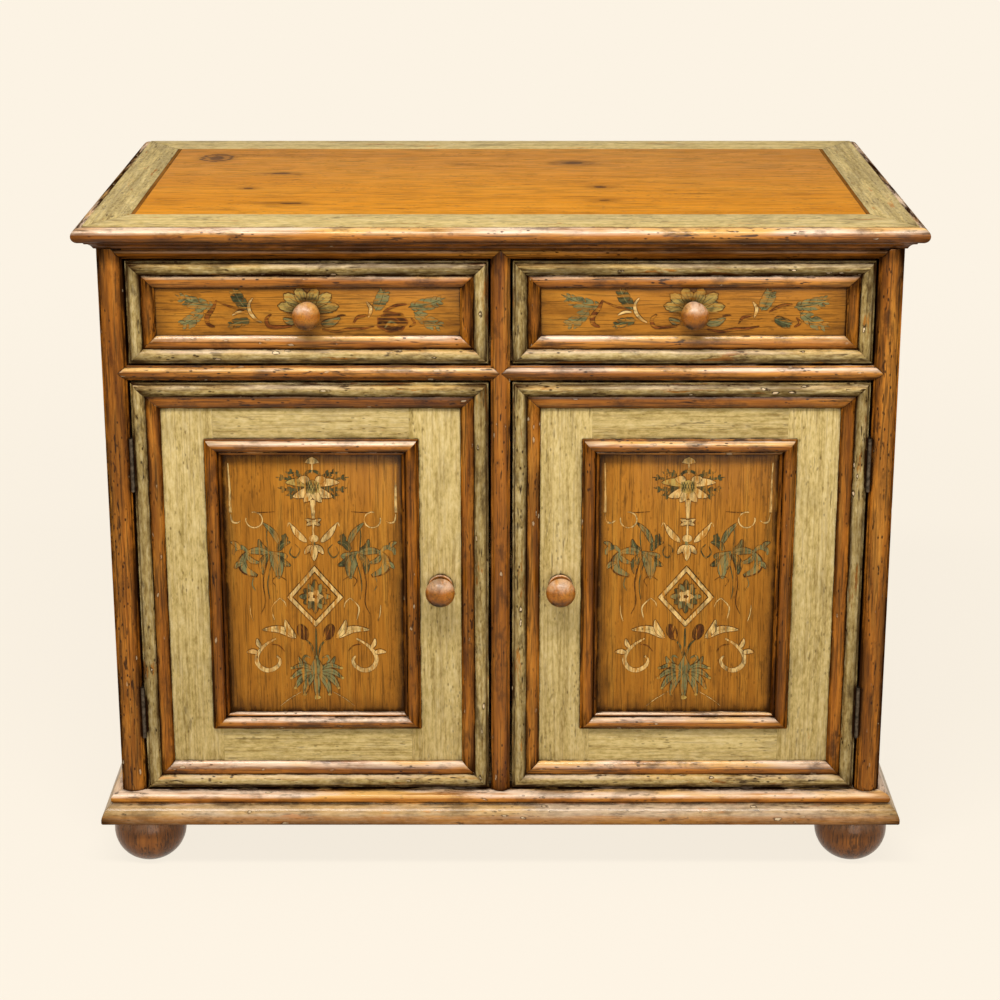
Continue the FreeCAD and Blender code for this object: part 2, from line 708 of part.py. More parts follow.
def make_drawer(name, s):
    """One drawer: moulded front, dovetailed sides, back, bottom in grooves, and a knob."""
    near, far = centre_stile_width / 2 + reveal, centre_stile_width / 2 + bay_width - reveal
    x0, x1 = sorted((s * near, s * far))
    z0, z1 = drawer_opening_z + reveal, frieze_z - reveal
    field_y = face_y + drawer_field_recess
    front_back = face_y + drawer_front_thickness
    box_end = front_back + drawer_side_length
    sides = [drawer_side(x0, x0 + drawer_side_thickness, z0, front_back),
             drawer_side(x1 - drawer_side_thickness, x1, z0, front_back)]
    inside = (x0 + drawer_side_thickness, x1 - drawer_side_thickness)
    bottom_z = z0 + drawer_bottom_lift
    bottom = box(inside[0] - drawer_groove_depth, inside[1] + drawer_groove_depth,
                 front_back - drawer_groove_depth, box_end, bottom_z, bottom_z + drawer_bottom_thickness)
    knob = make_knob(drawer_knob_radius, drawer_knob_collar_radius, drawer_knob_neck_radius,
                     drawer_knob_length, (x0 + x1) / 2, field_y, (z0 + z1) / 2)
    front = box(x0, x1, field_y, front_back, z0, z1).cut(bottom).cut(knob)
    for side in sides:
        front = front.cut(side)
    save(name + "_drawer_front", front)
    save(name + "_drawer_sides", *[side.cut(bottom) for side in sides])
    save(name + "_drawer_back", box(*inside, box_end - drawer_back_thickness, box_end,
                                    bottom_z + drawer_bottom_thickness, z0 + drawer_side_height))
    save(name + "_drawer_bottom", bottom)
    save(name + "_drawer_knob", knob)
    front_trim(name + "_drawer", x0, x1, z0, z1, drawer_field_recess, drawer_bead_swell)


def make_doors_and_drawers():
    """Both doors with their hinges and catches, and both drawers."""
    frame_leaves, pins, catches = [], [], []
    door_z0, door_z1 = door_opening_z + reveal, rail_z - reveal
    for name, s in SIDES:
        door_leaves = []
        for z in (door_z0 + hinge_end_distance, door_z1 - hinge_end_distance - hinge_length):
            frame_leaf, door_leaf, pin = make_hinge(s, z)
            frame_leaves.append(frame_leaf)
            door_leaves.append(door_leaf)
            pins.append(pin)
        catches.append(make_door(name, s, door_leaves))
        make_drawer(name, s)
    save("hinge_frame_leaves", *frame_leaves)
    save("hinge_pins", *pins)
    save("door_catches", *catches)


def main():
    os.makedirs("parts", exist_ok=True)
    make_top()
    plinth_front = make_base()
    make_front_frame(plinth_front)
    make_sides()
    make_inner_boards()
    make_doors_and_drawers()


main()
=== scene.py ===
import json
import math
import random

import bmesh
import bpy
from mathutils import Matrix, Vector, noise

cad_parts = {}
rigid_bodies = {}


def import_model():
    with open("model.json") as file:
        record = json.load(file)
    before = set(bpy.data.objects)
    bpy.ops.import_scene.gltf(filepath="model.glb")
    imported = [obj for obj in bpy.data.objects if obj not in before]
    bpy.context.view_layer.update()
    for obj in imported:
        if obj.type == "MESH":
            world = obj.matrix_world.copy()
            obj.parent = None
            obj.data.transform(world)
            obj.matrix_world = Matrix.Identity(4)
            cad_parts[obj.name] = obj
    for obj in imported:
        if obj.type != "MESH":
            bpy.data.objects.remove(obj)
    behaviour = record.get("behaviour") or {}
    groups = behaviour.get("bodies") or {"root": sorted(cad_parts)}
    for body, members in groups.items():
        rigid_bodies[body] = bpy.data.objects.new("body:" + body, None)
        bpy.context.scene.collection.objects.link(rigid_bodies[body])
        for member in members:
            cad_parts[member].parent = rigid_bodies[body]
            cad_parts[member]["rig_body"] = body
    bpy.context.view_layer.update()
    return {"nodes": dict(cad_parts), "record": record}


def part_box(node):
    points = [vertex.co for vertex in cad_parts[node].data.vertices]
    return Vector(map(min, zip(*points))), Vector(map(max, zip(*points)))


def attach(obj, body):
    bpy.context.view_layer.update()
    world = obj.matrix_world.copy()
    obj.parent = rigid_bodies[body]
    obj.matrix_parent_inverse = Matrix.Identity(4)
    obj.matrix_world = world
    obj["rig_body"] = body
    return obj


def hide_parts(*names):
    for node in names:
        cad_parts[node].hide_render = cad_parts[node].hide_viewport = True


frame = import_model()

MM = 0.001
CREAM_GROUND = (252, 243, 228)

# Finish colours, 0 to 255 as seen on a screen, from dark to light
# Glaze, also laid on as painted shade
GLAZE_AND_SHADE = (46, 24, 8)
UMBER = (98, 62, 28)
CHIP = (236, 210, 168)
# Painted highlight laid on upward faces, from golden to pale
PAINTED_HIGHLIGHT_TONES = ((240, 188, 110), (250, 220, 190))
STAIN = ((100, 50, 8), (182, 110, 32), (226, 154, 60))
TOP_STAIN = ((182, 108, 22), (218, 144, 42), (234, 168, 64))
PANEL_STAIN = ((146, 88, 22), (192, 126, 40), (216, 156, 60))
FOOT_STAIN = ((92, 50, 14), (150, 90, 34), (184, 118, 52))
KNOB_STAIN = ((100, 50, 6), (180, 107, 26), (216, 150, 58))
LINE_STAIN = ((92, 56, 20), (138, 90, 38), (170, 116, 56))
PINE = ((176, 126, 72), (214, 168, 110), (228, 190, 136))
PAINT = ((176, 152, 88), (214, 189, 124), (230, 208, 150))
EDGE_PAINT = ((132, 106, 56), (190, 164, 102), (222, 200, 146))
BAND_PAINT = ((120, 94, 58), (168, 142, 102), (198, 174, 136))

# Ornament colours
CREAM = (226, 190, 122)
YELLOW = (182, 154, 82)
SAGE = (122, 120, 78)
DEEP_GREEN = (78, 78, 48)
RUSSET = (128, 70, 28)
DARK_BROWN = (86, 50, 22)

# Knots and dark flecks in the top: X, Y, half length and half width in metres, and how much of a ring shows
KNOTS = (
    (-0.396, 0.1675, 0.022, 0.026, 1.0),
    (0.100, 0.130, 0.030, 0.018, 0.5),
    (-0.296, 0.055, 0.026, 0.011, 0.0),
    (-0.330, -0.048, 0.013, 0.010, 0.3),
    (-0.267, -0.146, 0.030, 0.010, 0.0),
    (0.131, -0.039, 0.018, 0.013, 0.3),
    (0.133, -0.125, 0.018, 0.009, 0.0),
)
KNOT_COVER = 0.9

# Noise patterns, in repeats per metre along the grain and, twice, across it
STREAKS = (3.0, 40, 40)
RINGS = (1.4, 95, 16)
PORES = (12, 420, 420)
NICK_AREAS = (11, 26, 26)
WORM_HOLES = (80, 170, 170)
SCRATCHES = (42, 250, 250)
# Noise that breaks up and tints the painted highlight
HIGHLIGHT_BREAKUP = (9, 110, 110)
HIGHLIGHT_TONE_NOISE = (5, 30, 30)
CLOUDS = (17, 36, 36)
FILM_STREAKS = (8, 75, 75)
CHIP_AREAS = (9, 40, 40)
CHIPS = (36, 95, 95)
CHIP_EDGES = (130, 260, 260)
GLAZE_PATCHES = (26, 60, 60)
VARNISH_TONES = (30, 90, 90)
KNOT_EDGES = (40, 150, 150)
PAINT_SPECKLE = (90, 260, 260)
BRUSH_MARKS = (5, 130, 130)
WORN_PAINT = (13, 80, 80)
BAND_EDGES = (30, 30, 30)
PANEL_EDGES = (22, 22, 22)
ORNAMENT_TONES = (70, 170, 170)
RUBBED_ORNAMENT = (30, 210, 210)
METAL_TONES = (160, 160, 160)

# Wear of the worn copies
EDGE_ROUNDING = 0.7 * MM
FILLED_JOINT = 0.12 * MM         # rounding where paint fills a joint
MOULDING_STEP = 7 * MM
DENT_DEPTH = 0.45 * MM
WAVE_SCALE, WAVE_SHARE = 55, 0.25
PIT_SCALE, PIT_SHARE, PIT_START = 130, 1.6, 0.42
PIT_SHIFT = Vector((7, 3, 1))    # sets the pits apart from the waves
GRAIN_SPREAD = 40
SAME_PLACE = 1e-6
PLACE_DIGITS = 6
UPPERMOST_WITHIN = 1 * MM        # of the top of its node
FLAT_ANGLE = math.radians(0.8)
SHARP_ANGLE = math.radians(32)

# Share of darkening on the boards: on the side nosings and upper painted edges, dark film with painted shade
# on upright mouldings and at the edges of swells, dark film at mitres, and painted shade beside the panel
# mouldings
SIDE_NOSING_DARKER = 1.0
UPPER_EDGE_DARKER, UPRIGHT_EDGE_FILM_AND_SHADE, LOWER_EDGE_FILM = 0.62, 0.30, 0.05
DRAWER_UPRIGHT_FILM_AND_SHADE, CENTRE_STILE_FILM, UPRIGHT_FILM_AND_SHADE, LEVEL_FILM = 0.6, 0.15, 0.45, 0.05
DOOR_PANEL_FILM = 0.14
TOP_END_FILM = 0.35
SWELL_FILM_AND_SHADE = 0.8
MITRE_FILM, MITRE_REACH = 0.6, 32 * MM
PANEL_EDGE_SHADE = 0.46

# Stage, light and camera
STAGE_HALF = 40.0
FLOOR_SHADE = 0.74               # of the backdrop's colour
FLOOR_NEAR, FLOOR_FAR = 1.0, 3.5
FLOOR_GLOW = 1.16                # near the object; 1 far away, as the backdrop
GLOW_SHARE = 0.78                # near the object, where the rest shows its shadow
SOFT_LIGHT, SOFT_STRENGTH = (1.0, 0.96, 0.90, 1), 0.24
LIGHT_TARGET = (0, 0, 0.5)
KEY_PLACE, KEY_SIZE, KEY_POWER, KEY_COLOUR = (-0.3, -2.0, 3.5), (2.8, 0.45), 118, (1.0, 0.97, 0.92)
FILL_PLACE, FILL_SIZE, FILL_POWER, FILL_COLOUR = (0.8, -4.2, 1.3), (2.5, 2.5), 40, (1.0, 0.97, 0.93)
CAMERA_PLACE = (-0.0006, -3.0442, 1.4630)
CAMERA_DOWN = math.radians(16.494)
CAMERA_SENSOR, CAMERA_LENS, CAMERA_SHIFT = 36.0, 83.64, -0.10
CAMERA_FAR = 200


def linear(colour):
    """Screen colour, 0 to 255, as the linear RGBA that shaders take."""
    def channel(c):
        c /= 255
        return c / 12.92 if c <= 0.04045 else ((c + 0.055) / 1.055) ** 2.4
    return (*map(channel, colour), 1)


# Shader building

class Shader:
    """One node material. Each method adds a node and returns its output socket."""

    def __init__(self, name):
        self.material = bpy.data.materials.new(name)
        self.material.use_nodes = True
        self.tree = self.material.node_tree
        self.tree.nodes.clear()
        grain = self.node("Attribute", {}, attribute_name="grain")
        self.grain = grain.outputs["Vector"]
        self.grime_and_shade = self.node("Attribute", {}, attribute_name="grime_and_shade").outputs["Fac"]
        self.place = self.node("TexCoord", {}).outputs["Object"]
        normal = self.node("NewGeometry", {}).outputs["Normal"]
        self.upward = self.node("SeparateXYZ", {0: normal}).outputs["Z"]

    def node(self, kind, inputs, **settings):
        made = self.tree.nodes.new("ShaderNode" + kind)
        for key, value in settings.items():
            setattr(made, key, value)
        for key, value in inputs.items():
            if isinstance(value, bpy.types.NodeSocket):
                self.tree.links.new(value, made.inputs[key])
            else:
                made.inputs[key].default_value = value
        return made

    def math(self, operation, a, b=0.0):
        return self.node("Math", {0: a, 1: b}, operation=operation).outputs[0]

    def remap(self, value, low, high):
        """0 at low, 1 at high, smooth between them."""
        inputs = {"Value": value, "From Min": low, "From Max": high}
        return self.node("MapRange", inputs, interpolation_type="SMOOTHSTEP").outputs["Result"]

    def mix(self, factor, a, b):
        return self.node("Mix", {0: factor, 6: a, 7: b}, data_type="RGBA").outputs[2]

    def stretch(self, vector, scale):
        return self.node("VectorMath", {0: vector, 1: scale}, operation="MULTIPLY").outputs[0]

    def noise(self, vector, scale, detail=4.0, roughness=0.55, distortion=0.0):
        inputs = {"Vector": self.stretch(vector, scale), "Scale": 1.0, "Detail": detail,
                  "Roughness": roughness, "Distortion": distortion}
        return self.node("TexNoise", inputs).outputs["Fac"]

    def cells(self, vector, scale):
        inputs = {"Vector": self.stretch(vector, scale), "Scale": 1.0}
        return self.node("TexVoronoi", inputs).outputs["Distance"]

    def ramp(self, value, colours, low=0.38, high=0.62):
        """The colours spread evenly over values from low to high."""
        made = self.node("ValToRGB", {"Fac": value})
        stops = made.color_ramp.elements
        while len(stops) < len(colours):
            stops.new(0.5)
        for i, colour in enumerate(colours):
            stops[i].position = low + (high - low) * i / (len(colours) - 1)
            stops[i].color = linear(colour)
        return made.outputs["Color"]

    def crevice(self, distance):
        """1 deep in a corner, 0 on an open face."""
        occlusion = self.node("AmbientOcclusion", {"Distance": distance}, samples=8).outputs["AO"]
        return self.math("SUBTRACT", 1.0, occlusion)

    def finish(self, colour, roughness, height, bump, shine, coat, coat_roughness=0.16):
        """The surface itself. Grime and painted shade dull its shine."""
        clean = self.math("SUBTRACT", 1.0, self.grime_and_shade)
        bumped = self.node("Bump", {"Height": height, "Strength": bump, "Distance": 1.0 * MM})
        shader = self.node("BsdfPrincipled", {
            "Base Color": colour, "Roughness": roughness, "Normal": bumped.outputs["Normal"],
            "Coat Weight": self.math("MULTIPLY", clean, coat), "Coat Roughness": coat_roughness,
            "Specular IOR Level": self.math("MULTIPLY", clean, shine)})
        output = self.node("OutputMaterial", {})
        self.tree.links.new(shader.outputs["BSDF"], output.inputs["Surface"])
        return self.material


def wood_grain(s, fineness=1.0):
    """Pine grain along the first axis of the grain attribute: (tone round one half, dark pore lines)."""
    def pattern(scale, *settings):
        return s.noise(s.grain, [fineness * c for c in scale], *settings)

    streaks = pattern(STREAKS, 8, 0.68, 0.6)
    rings = pattern(RINGS, 2, 0.5, 1.0)
    pores = pattern(PORES, 3, 0.6)
    tone = s.math("ADD", s.math("MULTIPLY", streaks, 0.55), s.math("MULTIPLY", rings, 0.22))
    tone = s.math("ADD", tone, s.math("MULTIPLY", pores, 0.23))
    return tone, s.remap(pores, 0.51, 0.61)


def nicks(s):
    """Dents, worm holes and short scratches left by wear: 1 inside a mark."""
    spread = s.remap(s.noise(s.grain, NICK_AREAS, 3), 0.44, 0.58)
    holes = s.remap(s.cells(s.grain, WORM_HOLES), 0.24, 0.11)
    marks = s.remap(s.noise(s.grain, SCRATCHES, 2, 0.5), 0.62, 0.69)
    return s.math("MULTIPLY", s.math("MAXIMUM", holes, marks), spread)


def aged(s, colour, smudge, depth, strength, nicked=1.0, chipping=0.0, painted_highlight=0.0, underside_shade=0.0):
    """Glaze in dents, glaze and painted shade in corners, painted shade on downward faces, chips, and a
    painted highlight on upward faces: (colour, dents).
    """
    # Painted highlight: upward faces lightened towards pale tones where the noise allows
    rubbed = s.math("MULTIPLY", s.remap(s.upward, 0.10, 0.62),
                    s.remap(s.noise(s.grain, HIGHLIGHT_BREAKUP, 7, 0.72), 0.26, 0.56))
    highlight_tone = s.mix(s.remap(s.noise(s.grain, HIGHLIGHT_TONE_NOISE, 3), 0.42, 0.58), linear(PAINTED_HIGHLIGHT_TONES[0]), linear(PAINTED_HIGHLIGHT_TONES[1]))
    colour = s.mix(s.math("MULTIPLY", rubbed, painted_highlight), colour, highlight_tone)
    marks = s.math("MULTIPLY", nicks(s), nicked)
    colour = s.mix(s.math("MULTIPLY", marks, 0.9), colour, linear(GLAZE_AND_SHADE))
    cloud = s.math("MULTIPLY", s.remap(s.noise(s.grain, CLOUDS, 7, 0.68), 0.48, 0.66), smudge)
    # Dark film streaks, with painted shade, as strong as each point's share of grime and shade
    film_and_shade = s.math("MULTIPLY", s.remap(s.noise(s.grain, FILM_STREAKS, 8, 0.74), 0.38, 0.58), s.grime_and_shade)
    colour = s.mix(s.math("MAXIMUM", cloud, film_and_shade), colour, linear(GLAZE_AND_SHADE))
    if chipping:
        spread = s.math("MULTIPLY", s.remap(s.noise(s.grain, CHIP_AREAS, 3), 0.50, 0.56), chipping)
        warped = s.math("ADD", s.cells(s.grain, CHIPS),
                        s.math("MULTIPLY", s.noise(s.grain, CHIP_EDGES, 3, 0.6), 0.6))
        rim = s.math("MULTIPLY", s.remap(warped, 0.53, 0.45), spread)
        bare = s.math("MULTIPLY", s.remap(warped, 0.42, 0.37), spread)
        colour = s.mix(s.math("MULTIPLY", rim, 0.85), colour, linear(GLAZE_AND_SHADE))
        colour = s.mix(bare, colour, linear(CHIP))
        marks = s.math("MAXIMUM", marks, s.math("MULTIPLY", rim, 0.8))
    patch = s.math("MULTIPLY", s.remap(s.noise(s.grain, GLAZE_PATCHES, 6, 0.65), 0.28, 0.66), 1.7)
    # Glaze and painted shade in corners and recesses, from occlusion
    corner = s.math("MULTIPLY", s.remap(s.crevice(depth), 0.10, 0.46), patch)
    corner = s.math("MULTIPLY", s.math("MINIMUM", corner, 1.0), strength)
    # Painted shade on faces turned downwards
    shaded = s.math("MULTIPLY", s.math("MULTIPLY", s.remap(s.upward, -0.05, -0.80), patch), underside_shade)
    return s.mix(s.math("MAXIMUM", corner, shaded), colour, linear(GLAZE_AND_SHADE)), marks


def varnish(s, low, high):
    """A roughness that wanders between low and high."""
    return s.math("ADD", s.math("MULTIPLY", s.noise(s.grain, VARNISH_TONES, 3), high - low), low)


def knot(s, x, y, length, width, ringed):
    """A knot in the top: a dark core in a fainter halo, and a ring, round a place in the part's frame."""
    offset = s.node("VectorMath", {0: s.place, 1: (x, y, 0)}, operation="SUBTRACT").outputs[0]
    away = s.node("VectorMath", {0: s.stretch(offset, (1 / length, 1 / width, 0))},
                  operation="LENGTH").outputs["Value"]
    uneven = s.math("SUBTRACT", s.noise(s.grain, KNOT_EDGES, 5, 0.65), 0.5)
    away = s.math("ADD", away, s.math("MULTIPLY", uneven, 1.1))
    ring = s.math("MULTIPLY", s.remap(away, 0.74, 0.86), s.remap(away, 1.14, 0.98))
    core = s.remap(away, 0.66, 0.40)
    halo = s.math("MULTIPLY", s.remap(away, 1.9, 0.5), 0.45)
    return s.math("MAXIMUM", s.math("MAXIMUM", s.math("MULTIPLY", ring, ringed), core), halo)


def panel_edge_shade(s, panel, moulding, reach_x, reach_z):
    """Painted shade on a panel's face beside the moulding round it: 1 at the moulding, 0 farther in."""
    low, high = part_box(panel)
    x, z = (low[0] + high[0]) / 2, (low[2] + high[2]) / 2
    corners = [(abs(v.co.x - x), abs(v.co.z - z)) for v in frame["nodes"][moulding].data.vertices]
    half_x, half_z = min(corners, key=lambda corner: math.hypot(*corner))
    place = s.node("SeparateXYZ", {0: s.place}).outputs
    across = s.math("ABSOLUTE", s.math("SUBTRACT", s.math("ABSOLUTE", place["X"]), abs(x)))
    up = s.math("ABSOLUTE", s.math("SUBTRACT", place["Z"], z))
    uneven = s.math("SUBTRACT", s.noise(s.place, PANEL_EDGES, 6, 0.62), 0.5)
    film_and_shade = 0.0
    for away, half, reach in ((across, half_x, reach_x), (up, half_z, reach_z)):
        inside = s.math("ADD", s.math("SUBTRACT", half, away), s.math("MULTIPLY", uneven, 1.6 * reach))
        film_and_shade = s.math("MAXIMUM", s.remap(inside, reach, -0.2 * reach), film_and_shade)
    return s.math("MULTIPLY", film_and_shade, s.remap(place["Y"], low[1] + 0.6 * MM, low[1] + 0.2 * MM))


def stained(name, tones, smudge=0.55, depth=8 * MM, strength=1.0, fineness=1.0, spread=0.12, pored=0.7,
            shine=0.08, coat=0.3, coat_roughness=0.16, nicked=1.0, chipping=0.0, painted_highlight=0.0, underside_shade=0.0,
            knots=(), film_and_shade=None):
    """Stained and varnished pine."""
    s = Shader(name)
    tone, pores = wood_grain(s, fineness)
    colour = s.ramp(tone, tones, 0.5 - spread, 0.5 + spread)
    colour = s.mix(s.math("MULTIPLY", pores, pored), colour, linear(tuple(c * 0.55 for c in tones[0])))
    for place in knots:
        colour = s.mix(s.math("MULTIPLY", knot(s, *place), KNOT_COVER), colour, linear(DARK_BROWN))
    if film_and_shade:
        # Painted shade on the panel's face beside its moulding
        colour = s.mix(s.math("MULTIPLY", panel_edge_shade(s, *film_and_shade), PANEL_EDGE_SHADE), colour, linear(GLAZE_AND_SHADE))
    colour, marks = aged(s, colour, smudge, depth, strength, nicked, chipping, painted_highlight, underside_shade)
    height = s.math("ADD", s.math("MULTIPLY", pores, -0.3), s.math("MULTIPLY", marks, -1.0))
    return s.finish(colour, varnish(s, 0.22, 0.44), height, 0.5, shine, coat, coat_roughness)


def decorated(name, film_and_shade):
    """The stained panels below the ornament."""
    # Occlusion 60 mm deep: painted shade spreads far across the panel from its moulding
    return stained(name, PANEL_STAIN, smudge=0.3, depth=60 * MM, strength=0.9, fineness=1.5, spread=0.24,
                   pored=0.55, nicked=0.4, coat=0.1, film_and_shade=film_and_shade)


def rubbed_paint(s, tones, wear):
    """Thin rubbed paint over stained wood: (colour, height)."""
    tone, pores = wood_grain(s)
    wood = s.ramp(tone, STAIN)
    speckle = s.noise(s.grain, PAINT_SPECKLE, 5, 0.7)
    brushed = s.noise(s.grain, BRUSH_MARKS, 6, 0.66, 0.4)
    coat = s.ramp(s.math("ADD", s.math("MULTIPLY", speckle, 0.6), s.math("MULTIPLY", brushed, 0.4)), tones)
    coat = s.mix(s.math("MULTIPLY", pores, 0.24), coat, linear(UMBER))
    through = s.remap(s.noise(s.grain, WORN_PAINT, 6, 0.7), wear, wear + 0.06)
    colour = s.mix(s.math("MULTIPLY", through, 0.8), coat, wood)
    return colour, s.math("MULTIPLY", s.math("ADD", pores, through), -0.35)


def painted(name, tones, smudge, wear, depth=14 * MM, strength=0.9, shine=0.06, coat=0.0,
            nicked=1.0, chipping=0.0, painted_highlight=0.0, underside_shade=0.0):
    """Rubbed and glazed paint on pine."""
    s = Shader(name)
    colour, height = rubbed_paint(s, tones, wear)
    colour, marks = aged(s, colour, smudge, depth, strength, nicked, chipping, painted_highlight, underside_shade)
    return s.finish(colour, varnish(s, 0.32, 0.55), s.math("SUBTRACT", height, marks), 0.5, shine, coat)


def plinth_finish(name):
    """Stained upper moulding, painted face band and a stained toe, told apart by height."""
    s = Shader(name)
    band_low, band_high = 83 * MM, 95.5 * MM
    colour, height = rubbed_paint(s, BAND_PAINT, 0.60)
    wood = s.ramp(wood_grain(s)[0], STAIN)
    z = s.node("SeparateXYZ", {0: s.place}).outputs["Z"]
    uneven = s.math("SUBTRACT", s.noise(s.grain, BAND_EDGES, 4), 0.5)
    z = s.math("ADD", z, s.math("MULTIPLY", uneven, 6 * MM))
    above = s.remap(z, band_high - 0.6 * MM, band_high + 0.6 * MM)
    below = s.remap(z, band_low + 2 * MM, band_low - 2 * MM)
    colour = s.mix(s.math("MAXIMUM", above, s.math("MULTIPLY", below, 0.6)), colour, wood)
    # Painted highlight, strongest on the stained upper moulding
    painted_highlight = s.math("ADD", s.math("MULTIPLY", above, 0.55), 0.40)
    colour, marks = aged(s, colour, 0.5, 9 * MM, 0.95, nicked=0.6, chipping=0.8, painted_highlight=painted_highlight)
    return s.finish(colour, varnish(s, 0.26, 0.48), s.math("SUBTRACT", height, marks), 0.5, 0.06, 0.3)


def ornament_paint(name, paint, cover):
    """Hand-laid ornament colour, rubbed through to the stained panel below it."""
    s = Shader(name)
    tone, pores = wood_grain(s)
    wood = s.ramp(tone, PANEL_STAIN, 0.3, 0.7)
    shade = s.noise(s.grain, ORNAMENT_TONES, 5, 0.65)
    colour = s.ramp(shade, (tuple(c * 0.66 for c in paint), paint, tuple(min(255, c * 1.1) for c in paint)))
    rubbed = s.remap(s.noise(s.grain, RUBBED_ORNAMENT, 5, 0.7), cover, cover + 0.08)
    bare = s.math("MAXIMUM", s.math("MULTIPLY", rubbed, 0.9), s.math("MULTIPLY", pores, 0.55))
    colour = s.mix(bare, colour, wood)
    colour, marks = aged(s, colour, 0.3, 45 * MM, 0.75, nicked=0.7)
    return s.finish(colour, varnish(s, 0.32, 0.5), s.math("MULTIPLY", marks, -1.0), 0.4, 0.06, 0.05)


def metal(name, colour, rough):
    """Plain metal, a little uneven."""
    s = Shader(name)
    shade = s.noise(s.place, METAL_TONES, 4)
    tone = s.ramp(shade, (tuple(c * 0.7 for c in colour), colour, tuple(min(255, c * 1.2) for c in colour)))
    bumped = s.node("Bump", {"Height": shade, "Strength": 0.15, "Distance": 0.3 * MM})
    roughness = s.math("ADD", s.math("MULTIPLY", shade, 0.25), rough)
    shader = s.node("BsdfPrincipled", {"Base Color": tone, "Metallic": 1.0, "Roughness": roughness,
                                       "Normal": bumped.outputs["Normal"]})
    output = s.node("OutputMaterial", {})
    s.tree.links.new(shader.outputs["BSDF"], output.inputs["Surface"])
    return s.material


materials = {
    "stained_top": stained("stained_top", TOP_STAIN, smudge=0.2, fineness=1.1, spread=0.24, strength=0.5,
                           pored=0.5, shine=0.003, coat=0.0, nicked=0.5, knots=KNOTS),
    "painted_border": painted("painted_border", PAINT, 0.34, 0.60, shine=0.02, nicked=0.7, chipping=0.3),
    "painted_pine": painted("painted_pine", PAINT, 0.18, 0.68, nicked=0.5),
    "painted_edge": painted("painted_edge", EDGE_PAINT, 0.7, 0.58, strength=1.0, coat=0.2, chipping=1.0,
                            painted_highlight=0.45, underside_shade=0.6),
    "door_panel": decorated("door_panel", ("left_door_panel", "left_door_panel_moulding", 24 * MM, 30 * MM)),
    "drawer_panel": decorated("drawer_panel", ("left_drawer_front", "left_drawer_bead", 36 * MM, 9 * MM)),
    "plinth_paint": plinth_finish("plinth_paint"),
    "stained_pine": stained("stained_pine", STAIN, smudge=0.65, coat=0.45, chipping=0.5, painted_highlight=0.95,
                            underside_shade=0.5),
    "shaded_pine": stained("shaded_pine", STAIN, smudge=0.5, strength=0.5, shine=0.02, coat=0.0,
                           chipping=0.3, painted_highlight=0.4, underside_shade=0.3),
    "turned_knob": stained("turned_knob", KNOB_STAIN, smudge=0.5, nicked=0.3, spread=0.24, pored=0.4,
                           coat=0.5, coat_roughness=0.32, painted_highlight=0.6, underside_shade=0.8),
    "dark_line": stained("dark_line", LINE_STAIN, smudge=0.2, strength=0.5, pored=0.3, shine=0.0, coat=0.0),
    "turned_foot": stained("turned_foot", FOOT_STAIN, smudge=0.45, nicked=0.6, spread=0.2, coat=0.4,
                           painted_highlight=0.3, underside_shade=0.5),
    "plain_pine": stained("plain_pine", PINE, smudge=0.06, strength=0.35, coat=0.0),
    "dark_steel": metal("dark_steel", (84, 74, 62), 0.38),
    "pin_brass": metal("pin_brass", (190, 150, 82), 0.22),
    "catch_plastic": metal("catch_plastic", (120, 92, 62), 0.5),
    "cream": ornament_paint("cream", CREAM, 0.51),
    "yellow": ornament_paint("yellow", YELLOW, 0.54),
    "sage": ornament_paint("sage", SAGE, 0.52),
    "deep_green": ornament_paint("deep_green", DEEP_GREEN, 0.53),
    "russet": ornament_paint("russet", RUSSET, 0.54),
    "dark_brown": ornament_paint("dark_brown", DARK_BROWN, 0.56),
}


# Worn copies of the CAD pieces

def place_key(point):
    """The same for all points at one place."""
    return tuple(round(c, PLACE_DIGITS) for c in point)


def split_solids(mesh):
    """The polygons of each closed solid in a CAD mesh, one list for each."""
    corner = [place_key(v.co) for v in mesh.vertices]
    parent = list(range(len(corner)))

    def find(i):
        while parent[i] != i:
            parent[i] = parent[parent[i]]
            i = parent[i]
        return i

    for polygon in mesh.polygons:
        first = find(polygon.vertices[0])
        for i in polygon.vertices[1:]:
            parent[find(i)] = first
    patches = {}
    for polygon in mesh.polygons:
        patches.setdefault(find(polygon.vertices[0]), []).append(polygon)
    solids, current, open_edges = [], [], set()
    for patch in patches.values():
        current += patch
        for polygon in patch:
            for a, b in polygon.edge_keys:
                if corner[a] != corner[b]:
                    open_edges ^= {frozenset((corner[a], corner[b]))}
        if not open_edges:
            solids.append(current)
            current = []
    return solids + [current] if current else solids


def solid_bmesh(mesh, polygons):
    """One closed solid with its vertices joined."""
    bm, made = bmesh.new(), {}
    for polygon in polygons:
        ring = []
        for i in polygon.vertices:
            key = place_key(mesh.vertices[i].co)
            if key not in made:
                made[key] = bm.verts.new(mesh.vertices[i].co)
            if made[key] not in ring:
                ring.append(made[key])
        if len(ring) > 2 and not bm.faces.get(ring):
            bm.faces.new(ring)
    return bm


